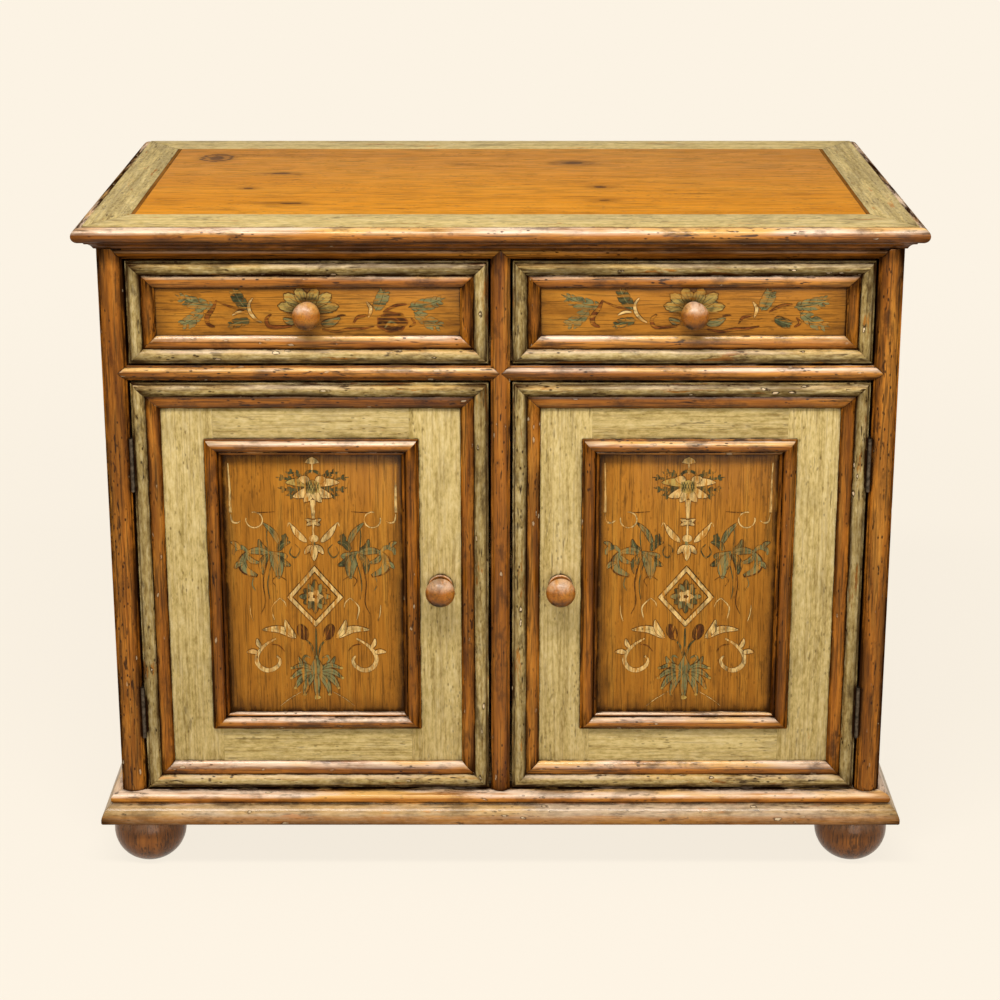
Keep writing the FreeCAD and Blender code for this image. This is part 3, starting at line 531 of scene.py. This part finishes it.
def wear_solid(bm, axis, step, rounding):
    """Rounds the edges a little, divides the length and presses shallow dents into it."""
    bmesh.ops.dissolve_limit(bm, angle_limit=FLAT_ANGLE, verts=bm.verts[:], edges=bm.edges[:])
    sharp = [e for e in bm.edges if len(e.link_faces) == 2 and e.calc_face_angle(0) > SHARP_ANGLE]
    bmesh.ops.bevel(bm, geom=sharp, offset=rounding, segments=2, profile=0.5, affect="EDGES",
                    clamp_overlap=True)
    if not step:
        return
    places = [v.co[axis] for v in bm.verts]
    low, length = min(places), max(places) - min(places)
    count = round(length / step)
    normal = Vector((axis == 0, axis == 1, axis == 2))
    for i in range(1, count):
        bmesh.ops.bisect_plane(bm, geom=bm.verts[:] + bm.edges[:] + bm.faces[:], dist=SAME_PLACE,
                               plane_co=normal * (low + length * i / count), plane_no=normal)
    bm.normal_update()
    moves = []
    for v in bm.verts:
        wave = 0.5 + 0.5 * noise.noise(v.co * WAVE_SCALE)
        pit = max(0.0, noise.noise(v.co * PIT_SCALE + PIT_SHIFT) - PIT_START)
        moves.append(v.normal * -(WAVE_SHARE * wave + PIT_SHARE * pit) * DENT_DEPTH)
    for v, move in zip(bm.verts, moves):
        v.co += move


def grain_offset(name, index):
    """A place in the grain pattern of its own for each board."""
    return Vector(random.Random(f"{name}{index}").uniform(-GRAIN_SPREAD, GRAIN_SPREAD) for _ in range(3))


def mesh_object(name, points, faces, grains, grime_and_shade_values, material_names, face_materials=None):
    """A mesh in the scene with its grain and its share of grime and painted shade written on its points."""
    mesh = bpy.data.meshes.new(name)
    mesh.from_pydata(points, [], faces)
    attribute = mesh.attributes.new("grain", "FLOAT_VECTOR", "POINT")
    attribute.data.foreach_set("vector", [c for g in grains for c in g])
    mesh.attributes.new("grime_and_shade", "FLOAT", "POINT").data.foreach_set("value", grime_and_shade_values)
    for key in material_names:
        mesh.materials.append(materials[key])
    if face_materials:
        mesh.polygons.foreach_set("material_index", face_materials)
    mesh.shade_smooth()
    mesh.set_sharp_from_angle(angle=SHARP_ANGLE)
    made = bpy.data.objects.new(name, mesh)
    bpy.context.scene.collection.objects.link(made)
    return made


def board_grime_and_shade(name, material_name, along, uppermost):
    """How much dark film and painted shade a board carries: more, with painted shade, on upright mouldings,
    and more on the upper painted edges and side nosings.
    """
    upright, runs_back = along == 2, along == 1
    if name == "top_nosing" and runs_back:
        return SIDE_NOSING_DARKER
    if material_name == "painted_edge":
        return UPRIGHT_EDGE_FILM_AND_SHADE if upright else UPPER_EDGE_DARKER if uppermost else LOWER_EDGE_FILM
    if material_name == "stained_pine":
        if upright and "drawer" in name:
            return DRAWER_UPRIGHT_FILM_AND_SHADE
        if "centre" in name:
            return CENTRE_STILE_FILM
        return UPRIGHT_FILM_AND_SHADE if upright else LEVEL_FILM
    if name.endswith("door_panel"):
        return DOOR_PANEL_FILM
    return TOP_END_FILM if material_name == "painted_border" and runs_back else 0.0


def edge_grime_and_shade(place, low, high, along):
    """More dark film on a moulding towards its mitred ends, and film with painted shade towards its edges, of
    a level one the lower edge.
    """
    across = 2 if along != 2 else 0 if high[1] < 0 else 1
    reach = 2 * (place[across] - low[across]) / (high[across] - low[across]) - 1
    reach = abs(reach) if along == 2 else -reach
    to_end = min(place[along] - low[along], high[along] - place[along])
    return SWELL_FILM_AND_SHADE * max(0.0, reach) ** 3 + MITRE_FILM * max(0.0, 1 - to_end / MITRE_REACH)


def worn_copy(node_name, material_name, step=0.0, axis=None):
    """A copy of a wooden node with softened edges, dents and a grain direction for each board."""
    node = frame["nodes"][node_name]
    points, faces, grains, grime_and_shade_values = [], [], [], []
    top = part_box(node_name)[1][2]
    for index, polygons in enumerate(split_solids(node.data)):
        bm = solid_bmesh(node.data, polygons)
        low, high = ([pick(v.co[i] for v in bm.verts) for i in range(3)] for pick in (min, max))
        sizes = [h - l for l, h in zip(low, high)]
        along = sizes.index(max(sizes)) if axis is None else axis
        if axis is None:
            wear_solid(bm, along, step, FILLED_JOINT if material_name == "painted_pine" else EDGE_ROUNDING)
        offset = grain_offset(node_name, index)
        uppermost = top - max(v.co.z for v in bm.verts) < UPPERMOST_WITHIN
        grime_and_shade = board_grime_and_shade(node_name, material_name, along, uppermost)
        others = [i for i in range(3) if i != along]
        bm.verts.index_update()
        start = len(points)
        for v in bm.verts:
            points.append(v.co[:])
            grains.append(Vector((v.co[along], v.co[others[0]], v.co[others[1]])) + offset)
            extra = edge_grime_and_shade(v.co, low, high, along) if step else 0.0
            grime_and_shade_values.append(min(1.0, grime_and_shade + extra))
        for f in bm.faces:
            faces.append([start + v.index for v in f.verts])
        bm.free()
    made = mesh_object("worn_" + node_name, points, faces, grains, grime_and_shade_values, [material_name])
    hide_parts(node_name)
    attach(made, node["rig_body"])


slots = {part["node"]: part["material_slot"] for part in frame["record"]["subparts"]}
MOULDED = ("stile", "rail", "rails", "moulding", "bead", "nosing", "ends")
TURNED_AXIS = {"knob": 1, "feet": 2}
PLAIN_FINISH = ("dark_steel", "pin_brass", "catch_plastic")
SPECIAL_FINISH = {"frieze_rail": "shaded_pine", "feet": "turned_foot", "knob": "turned_knob",
                  "lines": "dark_line"}


def finish_of(name, slot):
    """The finish of a wooden node: its slot's, or one of its own."""
    if name.endswith("edge_moulding"):
        return "painted_edge"
    if slot == "decorated_panel":
        return "drawer_panel" if "drawer" in name else "door_panel"
    return SPECIAL_FINISH.get(name) or SPECIAL_FINISH.get(name.split("_")[-1], slot)


for name, slot in slots.items():
    last = name.split("_")[-1]
    if slot in PLAIN_FINISH:
        frame["nodes"][name].data.materials[0] = materials[slot]
        continue
    step = MOULDING_STEP if last in MOULDED else 0.0
    worn_copy(name, finish_of(name, slot), step, TURNED_AXIS.get(last))


# Painted ornament

class Ornament:
    """Flat painted shapes on a panel, in millimetres from its middle, later shapes over earlier ones."""

    FIRST_COAT = 0.05            # from the panel's face
    NEXT_COAT = 0.003            # from the coat below
    LEAF_OUTLINE, FEATHER_OUTLINE, CURL_OUTLINE = 1.3, 0.8, 1.1
    OUTLINED_WIDTH = 4           # leaves wider than this have an outline
    RIB_WIDTH, STEM_WIDTH = 0.7, 0.9
    LEAFLET_SHAPE = 0.34         # width by length
    LEAFLET_BEND = 0.12
    DISC_POINTS = 40

    def __init__(self, name, body, carrier):
        self.name, self.body, self.carrier = name, body, carrier
        low, high = ([c / MM for c in corner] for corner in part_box(carrier))
        self.middle = ((low[0] + high[0]) / 2, (low[2] + high[2]) / 2)
        self.front = low[1]
        self.upright = high[2] - low[2] > high[0] - low[0]
        self.points, self.faces, self.colours, self.coats = [], [], [], 0

    def add(self, points, faces, colour):
        """A flat shape in one colour, on a coat of its own."""
        start = len(self.points)
        y = self.front - (self.FIRST_COAT + self.NEXT_COAT * self.coats)
        self.coats += 1
        self.points += [(self.middle[0] + u, y, self.middle[1] + v) for u, v in points]
        self.faces += [[start + i for i in face] for face in faces]
        self.colours += [colour] * len(faces)

    def ribbon(self, line, widths, colour):
        """A painted stroke along a line, as wide as widths say at each point."""
        left, right = [], []
        for i, (point, width) in enumerate(zip(line, widths)):
            before, after = line[max(0, i - 1)], line[min(len(line) - 1, i + 1)]
            way = Vector((after[0] - before[0], after[1] - before[1])).normalized()
            side = Vector((-way.y, way.x)) * width / 2
            left.append((point[0] + side.x, point[1] + side.y))
            right.append((point[0] - side.x, point[1] - side.y))
        n = len(line)
        faces = [[i, n + i, n + i + 1, i + 1] for i in range(n - 1)]
        self.add(left + right, faces, colour)

    @staticmethod
    def smooth(points, parts=6):
        """Points along a smooth line through the given ones."""
        ends = [points[0], *points, points[-1]]
        line = []
        for a, b, c, d in zip(ends, ends[1:], ends[2:], ends[3:]):
            for i in range(parts):
                t = i / parts
                line.append(tuple(
                    0.5 * (2 * q + (r - p) * t + (2 * p - 5 * q + 4 * r - w) * t ** 2
                           + (3 * q - p - 3 * r + w) * t ** 3)
                    for p, q, r, w in zip(a, b, c, d)))
        return line + [points[-1]]

    def stroke(self, points, width, colour, thin=0.35):
        """A brush stroke, fullest in the middle; thin is the share of the width left at its ends."""
        line = self.smooth(points)
        last = len(line) - 1
        swell = [math.sin(math.pi * i / last) for i in range(last + 1)]
        self.ribbon(line, [width * (thin + (1 - thin) * share) for share in swell], colour)

    def leaf(self, base, tip, width, colour, bend=0.0, rib=None, outline=True):
        """A pointed leaf from base to tip, curved sideways by bend, with a rib line in a second colour."""
        way = Vector(tip) - Vector(base)
        middle = (Vector(base) + Vector(tip)) / 2 + Vector((-way.y, way.x)) * bend
        line = self.smooth([tuple(base), tuple(middle), tuple(tip)], 7)
        last = len(line) - 1
        widths = [width * math.sin(math.pi * (i / last) ** 0.8) ** 0.9 + 0.25 for i in range(last + 1)]
        if outline and width > self.OUTLINED_WIDTH:
            self.ribbon(line, [w + self.LEAF_OUTLINE for w in widths], "dark_brown")
        self.ribbon(line, widths, colour)
        if rib:
            self.ribbon(line[1:-1], [self.RIB_WIDTH] * (last - 1), rib)

    def feather(self, base, tip, width, colour, rib, bend=0.0, pairs=5):
        """A leaf cut into pairs of leaflets along its stem, over one dark outline."""
        way = Vector(tip) - Vector(base)
        side = Vector((-way.y, way.x)).normalized()
        middle = (Vector(base) + Vector(tip)) / 2 + Vector((-way.y, way.x)) * bend
        line = self.smooth([tuple(base), tuple(middle), tuple(tip)], 8)
        leaflets = [(base, tip, width * self.LEAFLET_SHAPE, bend)]
        for i in range(pairs):
            at = Vector(line[round((0.12 + 0.6 * i / (pairs - 1)) * (len(line) - 1))])
            reach = width * (0.55 + 0.45 * math.sin(math.pi * (i + 1) / (pairs + 1)))
            for hand in (-1, 1):
                end = at + side * hand * reach / 2 + way.normalized() * reach * 0.55
                leaflets.append((at, end, reach * self.LEAFLET_SHAPE, hand * self.LEAFLET_BEND))
        for grow, tone in ((self.FEATHER_OUTLINE, "dark_brown"), (0.0, colour)):
            for start, end, wide, curve in leaflets:
                self.leaf(start, end, wide + grow, tone, curve, outline=False)
        self.ribbon(line, [self.STEM_WIDTH] * len(line), rib)

    def curl(self, points, width, colour, thin=0.25):
        """A brush stroke over its dark outline."""
        self.stroke(points, width + self.CURL_OUTLINE, "dark_brown", thin)
        self.stroke(points, width, colour, thin)

    def disc(self, centre, width, height, colour, lobes=0, depth=0.0, turn=0.0):
        """A filled oval, waved into lobes if asked."""
        count, rim = self.DISC_POINTS, []
        for i in range(count):
            a = 2 * math.pi * i / count
            r = 1 + depth * math.cos(lobes * a)
            u, v = r * width / 2 * math.cos(a), r * height / 2 * math.sin(a)
            rim.append((centre[0] + u * math.cos(turn) - v * math.sin(turn),
                        centre[1] + u * math.sin(turn) + v * math.cos(turn)))
        self.add([centre, *rim], [[0, 1 + i, 1 + (i + 1) % count] for i in range(count)], colour)

    def polygon(self, points, colour):
        self.add(points, [list(range(len(points)))], colour)

    def build(self):
        """One mesh that rides on the panel's body, with the panel's own grain."""
        offset = grain_offset(self.carrier, 0)
        points = [tuple(c * MM for c in p) for p in self.points]
        grains = [Vector((z, x, y) if self.upright else (x, y, z)) + offset for x, y, z in points]
        names = sorted(set(self.colours))
        made = mesh_object(self.name, points, self.faces, grains, [0.0] * len(points), names,
                           [names.index(c) for c in self.colours])
        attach(made, self.body)


def paint_door(o):
    """Flower, stem, lozenge and scrolls up the middle of a door panel, leaf sprays at the sides."""
    for hand in (-1, 1):
        def m(u, v, hand=hand):
            return hand * u, v

        o.coats = 0.0 if hand < 0 else 0.5      # the coats of one hand lie between those of the other
        # Feathery leaves beside the flower
        for tip, bend in (((34, 152), 0.2), ((46, 145), 0.05), ((44, 131), -0.15), ((34, 121), -0.25)):
            o.feather(m(10, 135), m(*tip), 9, "deep_green", "deep_green", hand * bend, 4)
        # Corner bracket and ring
        bracket = o.smooth([m(106, 164), m(105, 130), m(105, 98)])
        o.ribbon(bracket, [1.2 + 2.2 * (i / 12) for i in range(13)], "cream")
        o.stroke([m(105, 96), m(103, 86), m(97, 84), m(92, 87)], 2.2, "cream")
        ring = [m(75 + 10.5 * math.cos(a), 88 + 10.5 * math.sin(a))
                for a in [math.radians(75 + 300 * i / 20) for i in range(21)]]
        o.ribbon(ring, [1.5] * 21, "cream")
        o.stroke([m(72, 98), m(62, 98), m(48, 99)], 0.9, "dark_brown")
        # Leaf arms beside the bell
        o.leaf(m(9, 58), m(29, 82), 7.5, "cream", hand * -0.05)
        o.stroke([m(27, 80), m(31, 84), m(33, 79)], 1.6, "cream")
        # Leaf spray
        o.stroke([m(58, 82), m(60, 66), m(58, 46)], 1.3, "deep_green", 0.6)
        o.leaf(m(44, 55), m(64, 84), 6.5, "sage", hand * 0.08, "deep_green")
        o.leaf(m(46, 46), m(30, 58), 8, "deep_green", hand * -0.2, "sage")
        o.leaf(m(58, 46), m(70, 62), 7, "deep_green", hand * -0.2, "sage")
        o.leaf(m(34, 39), m(58, 45), 10, "sage", hand * -0.12, "deep_green")
        o.leaf(m(58, 43), m(86, 44), 9, "sage", hand * 0.10, "deep_green")
        o.leaf(m(48, 40), m(30, 26), 9, "deep_green", hand * 0.12, "sage")
        o.leaf(m(58, 42), m(66, 14), 9, "deep_green", hand * 0.15, "sage")
        o.leaf(m(54, 42), m(46, 8), 14, "sage", hand * -0.10, "deep_green")
        o.stroke([m(84, 45), m(92, 33), m(89, 20), m(73, 12)], 11, "dark_brown")
        o.stroke([m(84, 44), m(91, 33), m(88, 21), m(74, 13)], 9.5, "sage")
        o.stroke([m(86, 43), m(90, 33), m(86, 22)], 1.2, "deep_green")
        o.leaf(m(86, 40), m(70, 30), 6, "sage", hand * 0.15, "deep_green")
        o.leaf(m(90, 30), m(102, 22), 6, "sage", hand * 0.15, "deep_green")
        o.stroke([m(84, 44), m(92, 51), m(101, 48), m(103, 41)], 6, "sage")
        o.leaf(m(96, 50), m(106, 58), 5, "sage", hand * 0.15)
        o.stroke([m(24, 55), m(18, 47), m(24, 37), m(31, 43), m(28, 52)], 1.6, "deep_green")
        o.disc(m(37, 63), 8, 12, "deep_green", 5, 0.16)
        o.stroke([m(52, 40), m(60, 4), m(58, -20)], 1.2, "deep_green")
        # Tendrils beside the lozenge
        o.stroke([m(60, 30), m(66, 4), m(64, -24), m(70, -40)], 0.9, "dark_brown", 0.5)
        o.stroke([m(84, -28), m(83, -40), m(80, -50)], 1.2, "cream", 0.5)
        o.stroke([m(36, 6), m(46, 12), m(54, 6), m(50, -2)], 0.9, "dark_brown", 0.5)
        o.stroke([m(78, 10), m(80, 0), m(76, -8)], 1.2, "sage", 0.5)
        # Curls, two-lobed leaves and scrolls below the lozenge
        o.stroke([m(45, -18), m(56, -31), m(53, -48)], 1.8, "cream")
        o.stroke([m(45, -18), m(39, -24), m(37, -31)], 1.4, "cream")
        o.leaf(m(26, -73), m(69, -62), 9.5, "cream", hand * 0.14, "yellow")
        o.leaf(m(27, -72), m(39, -48), 8, "cream", hand * -0.10, "yellow")
        scroll = [m(52, -74), m(66, -83), m(76, -96), m(77, -107), m(70, -116), m(60, -118), m(50, -112),
                  m(47, -104), m(51, -98)]
        o.stroke(scroll, 6.0, "cream", 0.3)
        o.leaf(m(75, -94), m(90, -93), 6, "cream", hand * 0.1)
        o.leaf(m(71, -87), m(76, -74), 5, "cream", hand * -0.1)
        o.stroke([m(58, -82), m(48, -84), m(41, -92)], 1.0, "russet")
        # Buds on stems
        o.stroke([m(13, -76), m(6, -84), m(2, -100)], 2.4, "deep_green")
        o.disc(m(17, -65), 14, 23, "dark_brown", turn=hand * -0.35)
        o.stroke([m(13, -72), m(16, -64), m(19, -56)], 1.2, "russet")
        # Leaves at the foot
        o.stroke([m(8, -101), m(14, -98), m(17, -103), m(13, -108)], 3, "sage")
        o.leaf(m(6, -118), m(24, -99), 6, "sage", hand * -0.15, "deep_green")
        for tip, bend, width in (((33, -116), 0.25, 6), ((34, -130), 0.2, 7), ((29, -144), 0.15, 8),
                                 ((17, -153), 0.1, 8)):
            o.leaf(m(2, -122), m(*tip), width, "sage", hand * bend, "deep_green")
            o.disc(m(tip[0] - 1, tip[1] + 1), 4, 3.4, "yellow")
        o.stroke([m(20, -148), m(36, -158), m(48, -168)], 0.8, "cream")
    # Finial, calyx and flower
    o.polygon([(-9, 164.5), (-6, 169), (0, 172), (6, 169), (9, 164.5), (0, 162.5)], "cream")
    o.stroke([(0, 164), (0, 158), (0, 150)], 1.8, "cream", 0.8)
    for hand in (-1, 1):
        o.leaf((0, 154), (hand * 11, 147), 3.2, "deep_green", hand * 0.1)
        o.leaf((hand * 4, 136), (hand * 34, 138), 10, "yellow" if hand < 0 else "cream", hand * 0.05)
        o.leaf((hand * 4, 140), (hand * 17, 144), 10, "cream", 0.0)
        o.leaf((hand * 2, 130), (hand * 25, 119), 11, "cream", hand * -0.06)
        o.leaf((0, 128), (hand * 11, 112), 10, "cream", hand * -0.04)
    o.disc((0, 132), 20, 18, "yellow", 8, 0.06)
    for i in range(-2, 3):
        o.stroke([(i * 3.4 - 2, 126), (i * 3.4, 133), (i * 3.4 + 2, 139)], 1.0, "deep_green")
        o.stroke([(i * 3.4 + 2, 126), (i * 3.4, 133), (i * 3.4 - 2, 139)], 1.0, "deep_green")
    # Stem, collar, bell and calyx
    o.polygon([(-3.4, 115), (3.4, 115), (1.8, 90), (-1.8, 90)], "cream")
    for end in ((-10, 89), (10, 89), (-9, 81), (9, 81)):
        o.leaf((0, 85), end, 4.5, "cream")
    o.stroke([(0, 88), (0, 78), (0, 66)], 2.2, "cream", 0.8)
    o.disc((0, 63), 12, 10, "cream")
    o.stroke([(-2, 59), (0, 55), (2, 51)], 4, "sage")
    for hand in (-1, 1):
        o.leaf((0, 53), (hand * 12, 42), 7, "cream", hand * 0.1)
    o.leaf((0, 54), (0, 33), 9, "cream", 0.0, "sage")
    # Lozenge with its flower
    top, side, bottom, low = 25.5, 35.5, -57.5, -17
    inset = 6.2
    outer = [(0, top), (side, low), (0, bottom), (-side, low)]
    inner = [(0, top - inset * 1.2), (side - inset, low), (0, bottom + inset * 1.2), (-side + inset, low)]
    for edge in (outer, inner):
        o.ribbon([*edge, edge[0], edge[1]], [1.8] * 6, "dark_brown")
    o.add(outer + inner, [[i, (i + 1) % 4, 4 + (i + 1) % 4, 4 + i] for i in range(4)], "cream")
    heart, leaves = -16, 12
    for turn in range(leaves):
        a = 2 * math.pi * turn / leaves
        reach = 20 if turn % 3 == 0 else 17
        base = (4 * math.cos(a), heart + 4 * math.sin(a))
        tip = (reach * math.cos(a), heart + 1.15 * reach * math.sin(a))
        o.leaf(base, tip, 8, "deep_green" if turn % 2 else "sage")
    o.disc((0, heart), 17, 16, "cream", 5, 0.2)
    o.disc((0, heart), 6, 5, "dark_brown", 5, 0.15)
    # Stem and body of the foot leaves
    o.stroke([(0, -60), (0, -80), (0, -102)], 2.2, "deep_green", 0.6)
    o.polygon([(0, -96), (8.5, -114), (0, -128), (-8.5, -114)], "sage")
    o.stroke([(0, -100), (0, -112), (0, -126)], 1.0, "deep_green")
    o.leaf((0, -122), (0, -158), 8, "sage", 0.0, "deep_green")
    o.disc((0, -156), 8, 6, "yellow", 3, 0.1)


def paint_drawer(o, poppy):
    """Leaf fronds, sprigs, curls and a half rosette along a drawer front, not quite alike at its two ends."""
    for base, tip, bend, pairs in (((-113, 6), (-163, 22), 0.06, 7), ((-128, 3), (-160, -17), 0.10, 5),
                                   ((124, 6), (170, 18), -0.05, 7), ((131, 0), (169, -19), -0.08, 5)):
        o.feather(base, tip, 15, "sage", "deep_green", bend, pairs)
    o.feather((-75, 3), (-91, 30), 14, "deep_green", "sage", 0.05)
    o.feather((-71, -10), (-99, -19), 11, "deep_green", "sage", -0.05)
    o.feather((84, 2), (95, 28), 15, "sage", "deep_green", -0.05)
    for points, width, colour in (
            ([(-112, 15), (-117, 4), (-124, -6), (-123, -15), (-115, -19)], 5.0, "russet"),
            ([(-112, 14), (-95, 7), (-78, 3)], 1.0, "russet"),
            ([(-93, -4), (-85, 0), (-76, 0)], 3.0, "cream"),
            ([(-67, 18), (-72, 10), (-71, 0), (-64, -9), (-57, -13)], 4.0, "cream"),
            ([(-45, -3), (-51, -9), (-48, -18), (-34, -19), (-20, -18)], 4.0, "russet"),
            ([(36, -5), (42, -4), (47, -4)], 0.8, "dark_brown"),
            ([(18, -22), (35, -25), (49, -22), (66, -21), (82, -18)], 2.6, "russet"),
            ([(56, -15), (61, -7), (68, -5), (73, -4)], 2.6, "russet"),
            ([(73, 13), (78, 4), (75, -7)], 4.0, "cream"),
            ([(93, 0), (108, 8), (122, 10)], 2.2, "russet"),
            ([(127, -7), (132, -14), (125, -19)], 1.8, "russet")):
        o.curl(points, width, colour)
    o.leaf((-16, -13), (-30, -8), 7, "sage", 0.1, "deep_green")
    o.leaf((17, -15), (40, -7), 9, "sage", -0.1, "deep_green")
    heart, outline = 3, 1.6
    for turn, reach, length, width in ((172, 21, 30, 12), (6, 22, 32, 12), (146, 20, 28, 13),
                                       (34, 21, 28, 13), (114, 17, 26, 14), (68, 16, 26, 14)):
        a = math.radians(turn)
        lobe = (reach * math.cos(a), heart + reach * math.sin(a))
        o.disc(lobe, length + outline, width + outline, "dark_brown", 9, 0.05, a)
        o.disc(lobe, length, width, "yellow", 9, 0.05, a)
        far = reach + length * 0.3
        for vein in (a - 0.22, a, a + 0.22):
            o.stroke([(far * share * math.cos(vein), heart + far * share * math.sin(vein))
                      for share in (0, 0.6, 1)], 1.3, "sage")
    if poppy:
        o.disc((104, -12.5), 38, 26, "russet", 7, 0.06)
        o.disc((104, -12.5), 35, 23, "dark_brown", 7, 0.06)
        o.stroke([(95, -20), (102, -12), (110, -16)], 3.0, "sage")
        o.stroke([(97, -5), (107, -7), (114, -13)], 1.4, "russet")
    else:
        o.feather((100, -8), (122, -16), 11, "deep_green", "sage", -0.05)


for side in ("left", "right"):
    door = Ornament(side + "_door_ornament", side + "_door", side + "_door_panel")
    paint_door(door)
    door.build()
    drawer = Ornament(side + "_drawer_ornament", side + "_drawer", side + "_drawer_front")
    paint_drawer(drawer, poppy=side == "left")
    drawer.build()


# Stage, light and camera

def shown_directly(tree):
    """1 where a surface is seen straight, mirrored or through glass, 0 where it only lights others."""
    rays = tree.nodes.new("ShaderNodeLightPath")
    total = rays.outputs["Is Camera Ray"]
    for name in ("Is Glossy Ray", "Is Transmission Ray"):
        either = tree.nodes.new("ShaderNodeMath")
        either.operation = "MAXIMUM"
        tree.links.new(total, either.inputs[0])
        tree.links.new(rays.outputs[name], either.inputs[1])
        total = either.outputs[0]
    return total


def pale_ground():
    """A floor that shows the backdrop's cream and keeps the object's soft shadow; see-through from below."""
    s = Shader("ground")
    shade = linear(tuple(c * FLOOR_SHADE for c in CREAM_GROUND))
    diffuse = s.node("BsdfDiffuse", {"Color": shade}).outputs[0]
    reach = s.node("VectorMath", {0: s.place}, operation="LENGTH").outputs["Value"]
    far = s.remap(reach, FLOOR_NEAR, FLOOR_FAR)
    strength = s.math("SUBTRACT", FLOOR_GLOW, s.math("MULTIPLY", far, FLOOR_GLOW - 1))
    glow = s.node("Emission", {"Color": linear(CREAM_GROUND), "Strength": strength}).outputs[0]
    share = s.math("ADD", GLOW_SHARE, s.math("MULTIPLY", far, 1 - GLOW_SHARE))
    share = s.math("MULTIPLY", shown_directly(s.tree), share)
    shown = s.node("MixShader", {0: share, 1: diffuse, 2: glow}).outputs[0]
    clear = s.node("BsdfTransparent", {}).outputs[0]
    below = s.node("NewGeometry", {}).outputs["Backfacing"]
    surface = s.node("MixShader", {0: below, 1: shown, 2: clear}).outputs[0]
    s.tree.links.new(surface, s.node("OutputMaterial", {}).inputs["Surface"])
    return s.material


def make_stage():
    """The floor, and a world that lights softly and shows the plain backdrop."""
    half = STAGE_HALF
    mesh = bpy.data.meshes.new("ground")
    corners = [(-half, -half, 0), (half, -half, 0), (half, half, 0), (-half, half, 0)]
    mesh.from_pydata(corners, [], [[0, 1, 2, 3]])
    mesh.materials.append(pale_ground())
    ground = bpy.data.objects.new("ground", mesh)
    bpy.context.scene.collection.objects.link(ground)

    world = bpy.data.worlds.new("studio")
    bpy.context.scene.world = world
    world.use_nodes = True
    nodes, links = world.node_tree.nodes, world.node_tree.links
    nodes.clear()
    soft = nodes.new("ShaderNodeBackground")
    soft.inputs["Color"].default_value = SOFT_LIGHT
    soft.inputs["Strength"].default_value = SOFT_STRENGTH
    backdrop = nodes.new("ShaderNodeBackground")
    backdrop.inputs["Color"].default_value = linear(CREAM_GROUND)
    choose = nodes.new("ShaderNodeMixShader")
    output = nodes.new("ShaderNodeOutputWorld")
    links.new(shown_directly(world.node_tree), choose.inputs[0])
    links.new(soft.outputs[0], choose.inputs[1])
    links.new(backdrop.outputs[0], choose.inputs[2])
    links.new(choose.outputs[0], output.inputs["Surface"])


def area_light(name, place, size, power, colour):
    """A soft light turned to the object."""
    data = bpy.data.lights.new(name, "AREA")
    data.shape = "RECTANGLE"
    data.size, data.size_y = size
    data.energy, data.color = power, colour
    lamp = bpy.data.objects.new(name, data)
    lamp.location = place
    lamp.rotation_euler = (Vector(LIGHT_TARGET) - Vector(place)).to_track_quat("-Z", "Y").to_euler()
    bpy.context.scene.collection.objects.link(lamp)


def make_camera():
    """The photograph's view."""
    data = bpy.data.cameras.new("camera")
    data.sensor_width = CAMERA_SENSOR
    data.lens = CAMERA_LENS
    data.shift_y = CAMERA_SHIFT
    data.clip_end = CAMERA_FAR
    camera = bpy.data.objects.new("camera", data)
    camera.location = CAMERA_PLACE
    camera.rotation_euler = (math.pi / 2 - CAMERA_DOWN, 0, 0)
    bpy.context.scene.collection.objects.link(camera)
    bpy.context.scene.camera = camera


make_stage()
area_light("key", KEY_PLACE, KEY_SIZE, KEY_POWER, KEY_COLOUR)
area_light("fill", FILL_PLACE, FILL_SIZE, FILL_POWER, FILL_COLOUR)
make_camera()
bpy.context.scene.view_settings.view_transform = "Standard"
